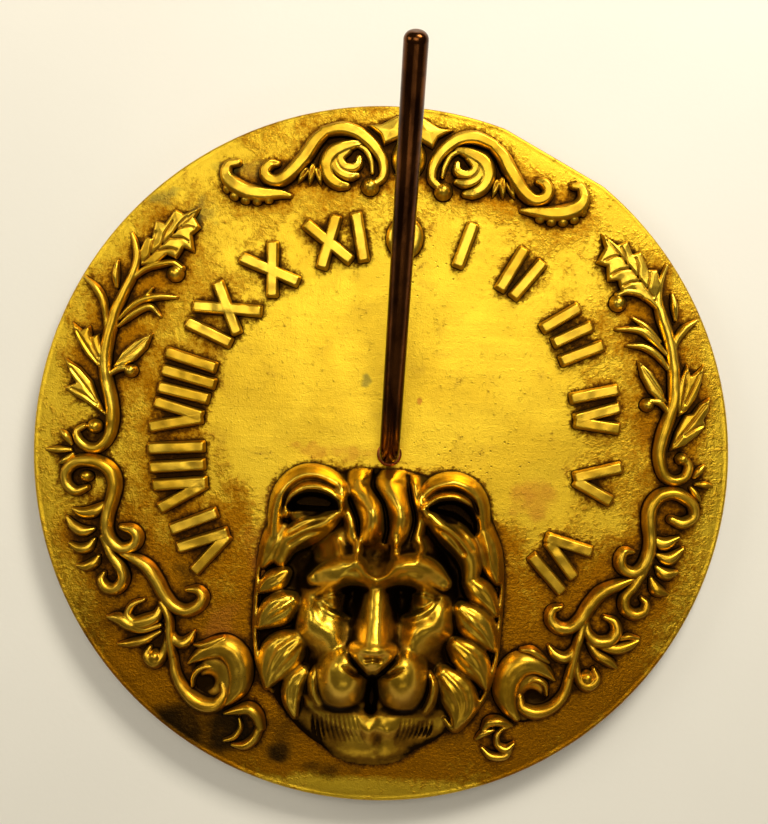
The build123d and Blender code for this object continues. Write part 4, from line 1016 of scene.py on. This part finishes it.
# ---------------------------------------------------------------- the plate
EDGE_ROUND, SKIRT, FACE_THICK = 1.4, 5.0, 3.8
RINGS, UNDER_RINGS, SECTORS = 118, 26, 592
FLAT_ANGLE, FLAT_DISTANCE = math.radians(63), 125.3
MAP_REACH = 132            # the patina's map runs this far each way from the plate's middle


def patina_map(step=0.5):
    """A map of the whole plate, 1 where the relief stands."""
    axis = np.arange(-MAP_REACH, MAP_REACH + step, step)
    x, y = np.meshgrid(axis, axis)
    mask = np.zeros(x.shape)
    for field, place in fields:
        shrink = LION_SHRINK if place is lion_place else SHRINK
        u = SHRINK_CENTRE[0] + (x - DIAL_X - SHRINK_CENTRE[0]) / shrink
        v = SHRINK_CENTRE[1] + (y - SHRINK_CENTRE[1]) / shrink
        i = np.round((u - field.u[0]) / field.step).astype(int)
        j = np.round((v - field.v[0]) / field.step).astype(int)
        inside = (i >= 0) & (j >= 0) & (i < len(field.u)) & (j < len(field.v))
        taken = field.h[np.clip(j, 0, len(field.v) - 1), np.clip(i, 0, len(field.u) - 1)] > 0
        mask = np.maximum(mask, inside & taken)
    return axis, mask


def sample(axis, grid, x, y):
    """Bilinear samples of a square grid."""
    step = axis[1] - axis[0]
    fx = np.clip((x - axis[0]) / step, 0, len(axis) - 1.001)
    fy = np.clip((y - axis[0]) / step, 0, len(axis) - 1.001)
    i, j = fx.astype(int), fy.astype(int)
    fx, fy = fx - i, fy - j
    return ((grid[j, i] * (1 - fx) + grid[j, i + 1] * fx) * (1 - fy)
            + (grid[j + 1, i] * (1 - fx) + grid[j + 1, i + 1] * fx) * fy)


def rim_radius(angle):
    """The plate's edge, a circle that was ground a little flat on one side."""
    away = np.cos(angle - FLAT_ANGLE)
    return np.minimum(PLATE_R, np.where(away > 0.5, FLAT_DISTANCE / np.maximum(away, 0.5), PLATE_R))


# The plate's section, from the middle of its face round to the middle of its back:
# (share of the edge's radius, millimetres added to that, height).
BACK_Z = FACE_Z - FACE_THICK
FLAT_SHARE = 1 - EDGE_ROUND / PLATE_R
section = [(share * FLAT_SHARE, 0.0, FACE_Z) for share in np.linspace(0.008, 1, RINGS) ** 0.9]
for turn in np.linspace(0, math.pi / 2, 6)[1:]:
    section.append((FLAT_SHARE, EDGE_ROUND * math.sin(turn), FACE_Z - EDGE_ROUND * (1 - math.cos(turn))))
section += [(1, 0, 6), (1, 0, 3), (1, -0.1, 0.5), (1, -0.6, 0), (1, -SKIRT + 0.6, 0), (1, -SKIRT, 0.6),
            (1, -SKIRT, 3.0), (1, -SKIRT, BACK_Z - 1.2), (1, -SKIRT - 1.2, BACK_Z)]
hollow_share = 1 - (SKIRT + 1.3) / PLATE_R
section += [(share * hollow_share, 0, BACK_Z) for share in np.linspace(1, 0.02, UNDER_RINGS)]


def ring_faces(first, second, count):
    """Quads between two rings of equally many points, given the first index of each."""
    k = np.arange(count)
    after = np.roll(k, -1)
    return np.stack([first + k, second + k, second + after, first + after], axis=1)


angles = np.linspace(0, 2 * math.pi, SECTORS, endpoint=False)
edge = rim_radius(angles)
rings = []
for share, extra, z in section:
    radius = edge * share + extra
    x, y = radius * np.cos(angles), radius * np.sin(angles)
    if z == FACE_Z:
        calm = np.clip((edge - radius) / 8, 0, 1)
        lift = (0.16 * noise(x, y, 26, 3) + 0.07 * noise(x, y, 9, 4)) * (0.4 + 0.6 * calm)
        lift = lift - 0.25 * np.exp(-((edge - radius) / 2.0) ** 2)
        z = z + lift - 0.12
    elif z == BACK_Z:
        z = z + 0.25 * noise(x, y, 7, 8)
    rings.append(np.stack([x, y, np.broadcast_to(z, x.shape)], axis=1))
vertices = np.concatenate(rings + [[[0, 0, FACE_Z]], [[0, 0, BACK_Z]]])
faces = [ring_faces(k * SECTORS, (k + 1) * SECTORS, SECTORS) for k in range(len(rings) - 1)]
around = np.arange(SECTORS)
after = np.roll(around, -1)
centre_top = len(rings) * SECTORS
last = centre_top - SECTORS
caps = [np.stack([np.full(SECTORS, centre_top), around, after], axis=1),
        np.stack([np.full(SECTORS, centre_top + 1), last + after, last + around], axis=1)]

# The three rear bosses, each with the mouth of its threaded hole: (radius, height).
BOSS_CIRCLE_R, BOSS_SECTORS = 100.0, 40
BOSS_SECTION = [(2.5, 6.7), (2.5, 1.0), (2.8, 0.5), (6.4, 0.5), (7.0, 1.1), (7.0, 5.6), (8.0, 6.4),
                (8.0, 6.7)]
turns = np.linspace(0, 2 * math.pi, BOSS_SECTORS, endpoint=False)
for direction in np.radians([90, 210, 330]):
    start = len(vertices)
    centre_x, centre_y = BOSS_CIRCLE_R * math.cos(direction), BOSS_CIRCLE_R * math.sin(direction)
    for row, (r, z) in enumerate(BOSS_SECTION):
        circle = [centre_x + r * np.cos(turns), centre_y + r * np.sin(turns), np.full(BOSS_SECTORS, z)]
        vertices = np.concatenate([vertices, np.stack(circle, axis=1)])
        following = (row + 1) % len(BOSS_SECTION)
        faces.append(ring_faces(start + following * BOSS_SECTORS, start + row * BOSS_SECTORS, BOSS_SECTORS))

# Where the plate is dull, dirty or stained, darker towards the bottom, and blackened round the foot of the
# relief as dirt and painted shade, at each of its points.
px, py, pz = vertices.T
on_face = pz > FACE_Z - 1.5
axis, mask = patina_map()
near_fine, near_mid, near_broad = (sample(axis, blur(mask, radius), px, py) for radius in (2.8, 7.0, 14.0))
# Near the relief the plate is browned where the polish does not reach and blackened at the relief's foot:
# dirt, and painted shade there.
near = np.where(on_face, np.maximum(1.3 * near_fine + 0.6 * near_mid - 0.1, 0), 0.75)
u, v = px - DIAL_X, py
radius = np.hypot(px, py)


def patch(cu, cv, ru, rv, seed, ragged=0.5, cell=5.0):
    """A ragged patch of discolouring: 1 in its middle, 0 outside."""
    reach = ((u - cu) / ru) ** 2 + ((v - cv) / rv) ** 2
    return np.clip(1.2 - reach + ragged * noise(u, v, cell, seed), 0, 1) * on_face


def patches(*rows):
    """The strongest of several patches at each point: the share of each, then what patch() takes."""
    return np.maximum.reduce([share * patch(*row) for share, *row in rows])


ring = 0.30 * np.clip((np.hypot(u + 1, v - 18) - 60) / 22, 0, 1) * np.clip((130 - v) / 40, 0.5, 1)
# Darker towards the bottom of the plate.
below = 0.5 * np.clip((-25 - v) / 60, 0, 1) * np.clip((radius - 30) / 40, 0, 1)
tarnish = np.clip(near_broad * 1.15 - 0.16 + ring + below, 0, 1) * on_face
tarnish = np.maximum(tarnish, 0.75 * patch(30, -55, 30, 40, 31, 0.6, 12))
tarnish *= 1 - 0.45 * patch(-106, -4, 18, 26, 39, 0.4, 12)
tarnish *= 1 - 0.6 * patch(78, 72, 16, 15, 26, 0.4, 8)
tarnish = np.maximum(tarnish, patches(
    (0.4, -117, 48, 10, 18, 24, 0.6, 7), (0.72, 75, -70, 34, 26, 30, 0.6, 10),
    (0.9, -66, -94, 34, 26, 29, 0.6, 10), (0.7, -56, -50, 16, 46, 32, 0.5, 12),
    (0.45, 0, 116, 66, 12, 28, 0.8, 9)))
tarnish = np.clip(tarnish, 0, 1) * (1 - 0.85 * patch(0, 40, 52, 40, 33, 0.2, 14))
tarnish *= 1 - 0.7 * patch(0, -124, 60, 7, 34, 0.2, 8)
black = patches(
    (0.8, -31, -106, 11, 12, 35, 0.9, 6), (0.6, -15, -116, 12, 4, 36), (0.4, 30, -104, 8, 5, 37),
    (0.5, -70, -51, 9, 9, 25, 0.6, 6), (0.4, -106, -62, 12, 24, 22, 0.8, 8))
black = np.maximum(black, 0.95 * patch(-62, -106, 24, 13, 38, 0.5, 9) * np.clip((127 - radius) / 2, 0, 1))
pitted = patches((1, 30, 2, 26, 10, 61, 0.5, 6), (1, 8, 66, 14, 12, 62, 0.5, 6))
plate = new_mesh("plate", vertices, faces + caps, {
    "near": near,
    "tarnish": tarnish,
    "black": black,
    "red": patches((0.8, 54, -14, 9, 9, 41), (0.7, -20, 0, 18, 3.5, 42, 0.8, 3),
                   (0.55, -40, -34, 12, 20, 43, 0.8, 9), (0.6, -57, -66, 8, 10, 44, 0.8, 6)),
    "green": patches((1, -10, 26, 2.4, 2.8, 51, 0.3, 2), (0.7, -88, 90, 7, 4, 52, 0.7, 2),
                     (0.6, -72, 84, 6, 6, 53, 0.8, 2), (0.5, -60, 101, 14, 4, 54, 0.9, 3)),
    "orange": patch(10, 20, 1.4, 1.6, 55, 0.3, 2),
    "pitted": np.maximum(pitted, np.clip(near - 0.25, 0, 1)),
})


def plate_material():
    """Cast brass, polished in the middle, brown where the polish does not reach, and near black at the foot
    of the relief: dirt there, and painted shade.
    """
    material, t, shader = new_material("plate_brass")
    broad = t.noise(30, 4, 0.5, 0.5)
    blotch = t.noise(8, 5, 0.6, 0.5)
    speck = t.noise(1.5, 3, 0.65)
    fine = t.noise(0.5, 2, 0.6)
    scratch = t.noise(3.2, 3, 0.6, 0.2, stretch=(0.12, 1.6, 1))
    metal = t.mix(t.ramp(broad, 0.35, 0.7), (0.80, 0.53, 0.03), (0.70, 0.44, 0.022))
    metal = t.mix(t.ramp(blotch, 0.52, 0.78, 0, 0.3), metal, (0.60, 0.34, 0.03))
    dull = t.vary(t.vary(t.attribute("tarnish"), blotch, 0.8), speck, 0.7)
    dull = t.ramp(dull, 0.12, 0.75, 0, 0.95)
    colour = t.mix(dull, metal, (0.35, 0.125, 0.001))
    flecks = t.math("MULTIPLY", t.ramp(t.noise(0.9, 2, 0.7), 0.5, 0.68), dull)
    colour = t.mix(t.math("MULTIPLY", flecks, 0.5), colour, (0.10, 0.034, 0.001))
    close = t.vary(t.vary(t.attribute("near"), speck, 1.5), blotch, 0.5)
    brown = t.ramp(close, 0.16, 0.66, 0, 0.9)
    colour = t.mix(brown, colour, (0.14, 0.046, 0.002))
    # Near black at the relief's foot: dirt, and painted shade there.
    colour = t.mix(t.ramp(close, 0.5, 1.0, 0, 0.9), colour, (0.022, 0.009, 0.002))
    for name, paint, amount in (
        ("red", (0.50, 0.17, 0.02), 0.6), ("green", (0.15, 0.14, 0.03), 0.7),
        ("orange", (0.45, 0.14, 0.02), 0.8), ("black", (0.012, 0.008, 0.003), 0.95),
    ):
        share = t.ramp(t.vary(t.attribute(name), blotch, 0.9), 0.1, 1.0, 0, amount)
        colour = t.mix(share, colour, paint)
    cells = t.node("ShaderNodeTexVoronoi", Vector=t.place, Scale=1 / (2.3 * MM)).outputs["Distance"]
    pit_share = t.ramp(t.vary(t.attribute("pitted"), blotch, 0.9), 0.2, 0.7)
    pits = t.math("MULTIPLY", t.ramp(cells, 0.0, 0.2, 1, 0), pit_share)
    colour = t.mix(t.math("MULTIPLY", pits, 0.85), colour, (0.03, 0.015, 0.004))
    roughness = t.math("MULTIPLY_ADD", brown, 0.16, t.vary(0.4, blotch, 0.22))
    roughness = t.vary(roughness, scratch, 0.2, clamp=True)
    relief = t.math("MULTIPLY_ADD", speck, 0.8, fine)
    relief = t.math("MULTIPLY_ADD", scratch, 0.5, relief)
    sand = t.math("MULTIPLY", t.noise(1.1, 2, 0.7), t.ramp(t.math("MAXIMUM", close, dull), 0.1, 0.6))
    relief = t.math("MULTIPLY_ADD", sand, 2.2, relief)
    relief = t.math("MULTIPLY_ADD", pits, -3.0, relief)
    t.dress(shader, colour, 1.0, roughness, relief, 0.55, 0.16)
    return material


ride(plate, "plate_brass", plate_material(), "dial_plate")

# ---------------------------------------------------------------- gnomon and fixings
PLAIN_BRASS = (0.45, 0.33, 0.14), (0.28, 0.19, 0.08), 0.4
GNOMON_FINISHES = {        # bright and dark colours, roughness
    "gnomon_rod": ((0.17, 0.056, 0.012), (0.04, 0.013, 0.004), 0.2),
    "gnomon_collar": ((0.36, 0.10, 0.035), (0.20, 0.05, 0.018), 0.3),
    "gnomon_washer": PLAIN_BRASS,
    "gnomon_spring_washer": PLAIN_BRASS,
    "gnomon_nut": PLAIN_BRASS,
}


def handled_metal(name, bright, dark, rough):
    """Metal dulled by handling: streaky tarnish, fine scratches and a few bright rubs."""
    material, t, shader = new_material(name)
    streak = t.noise(7, 4, 0.6, 0.3, stretch=(1, 0.25, 0.25))
    blotch = t.noise(3.5, 4, 0.6, 0.4)
    fine = t.noise(0.5, 2, 0.6)
    colour = t.mix(t.ramp(streak, 0.35, 0.65), dark, bright)
    colour = t.mix(t.ramp(blotch, 0.5, 0.75, 0, 0.6), colour, tuple(c * 0.35 for c in dark))
    t.dress(shader, colour, 1.0, t.vary(rough, blotch, 0.3, clamp=True), fine, 0.25, 0.08)
    return material


for node, finish in GNOMON_FINISHES.items():
    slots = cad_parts[node].data.materials
    slots.clear()
    slots.append(handled_metal(node + "_finish", *finish))


# ---------------------------------------------------------------- floor, light and camera
def floor_paint(colour):
    """Pale matt paint with a slight grain."""
    material, t, shader = new_material("floor_paint")
    grain = t.noise(2.5, 3, 0.6)
    broad = t.noise(160, 3, 0.5)
    tone = t.mix(t.ramp(broad, 0.3, 0.7), colour, tuple(c * 0.96 for c in colour))
    t.dress(shader, tone, 0.0, 0.75, grain, 0.15, 0.3)
    return material


bpy.ops.mesh.primitive_grid_add(x_subdivisions=4, y_subdivisions=4, size=4)
floor = bpy.context.object
floor.name = "floor"
floor.data.materials.append(floor_paint((0.90, 0.865, 0.77)))

scene = bpy.context.scene
scene.view_settings.view_transform = "Standard"
world = bpy.data.worlds.new("studio")
world.use_nodes = True
world.node_tree.nodes["Background"].inputs["Color"].default_value = (0.42, 0.38, 0.30, 1)
world.node_tree.nodes["Background"].inputs["Strength"].default_value = 0.28
scene.world = world


def area_light(name, place, aim, size, power):
    """A warm rectangular lamp aimed at a point of the dial, in metres and watts."""
    data = bpy.data.lights.new(name, "AREA")
    data.shape, data.size, data.size_y = "RECTANGLE", *size
    data.energy, data.color = power, (1, 0.95, 0.85)
    lamp = bpy.data.objects.new(name, data)
    scene.collection.objects.link(lamp)
    lamp.location = place
    lamp.rotation_euler = (Vector(aim) - Vector(place)).to_track_quat("-Z", "Y").to_euler()


area_light("key", (0.32, 0.76, 0.6), (0, 0.02, 0), (0.4, 0.28), 9.0)
area_light("side", (-0.7, 0.3, 0.5), (0, 0, 0), (0.3, 0.4), 1.5)
area_light("over", (0.0, 0.22, 1.1), (0, 0.05, 0), (0.7, 0.5), 3.5)
area_light("low", (0.1, -0.7, 0.5), (0, -0.05, 0), (0.6, 0.2), 0.35)

camera_data = bpy.data.cameras.new("camera")
camera_data.lens, camera_data.sensor_width, camera_data.clip_start = 51.63, 36, 0.01
camera = bpy.data.objects.new("camera", camera_data)
camera.location = (0.0002, 0.0151, 0.441)
camera.rotation_euler = (0, 0, math.radians(3.4))
scene.collection.objects.link(camera)
scene.camera = camera
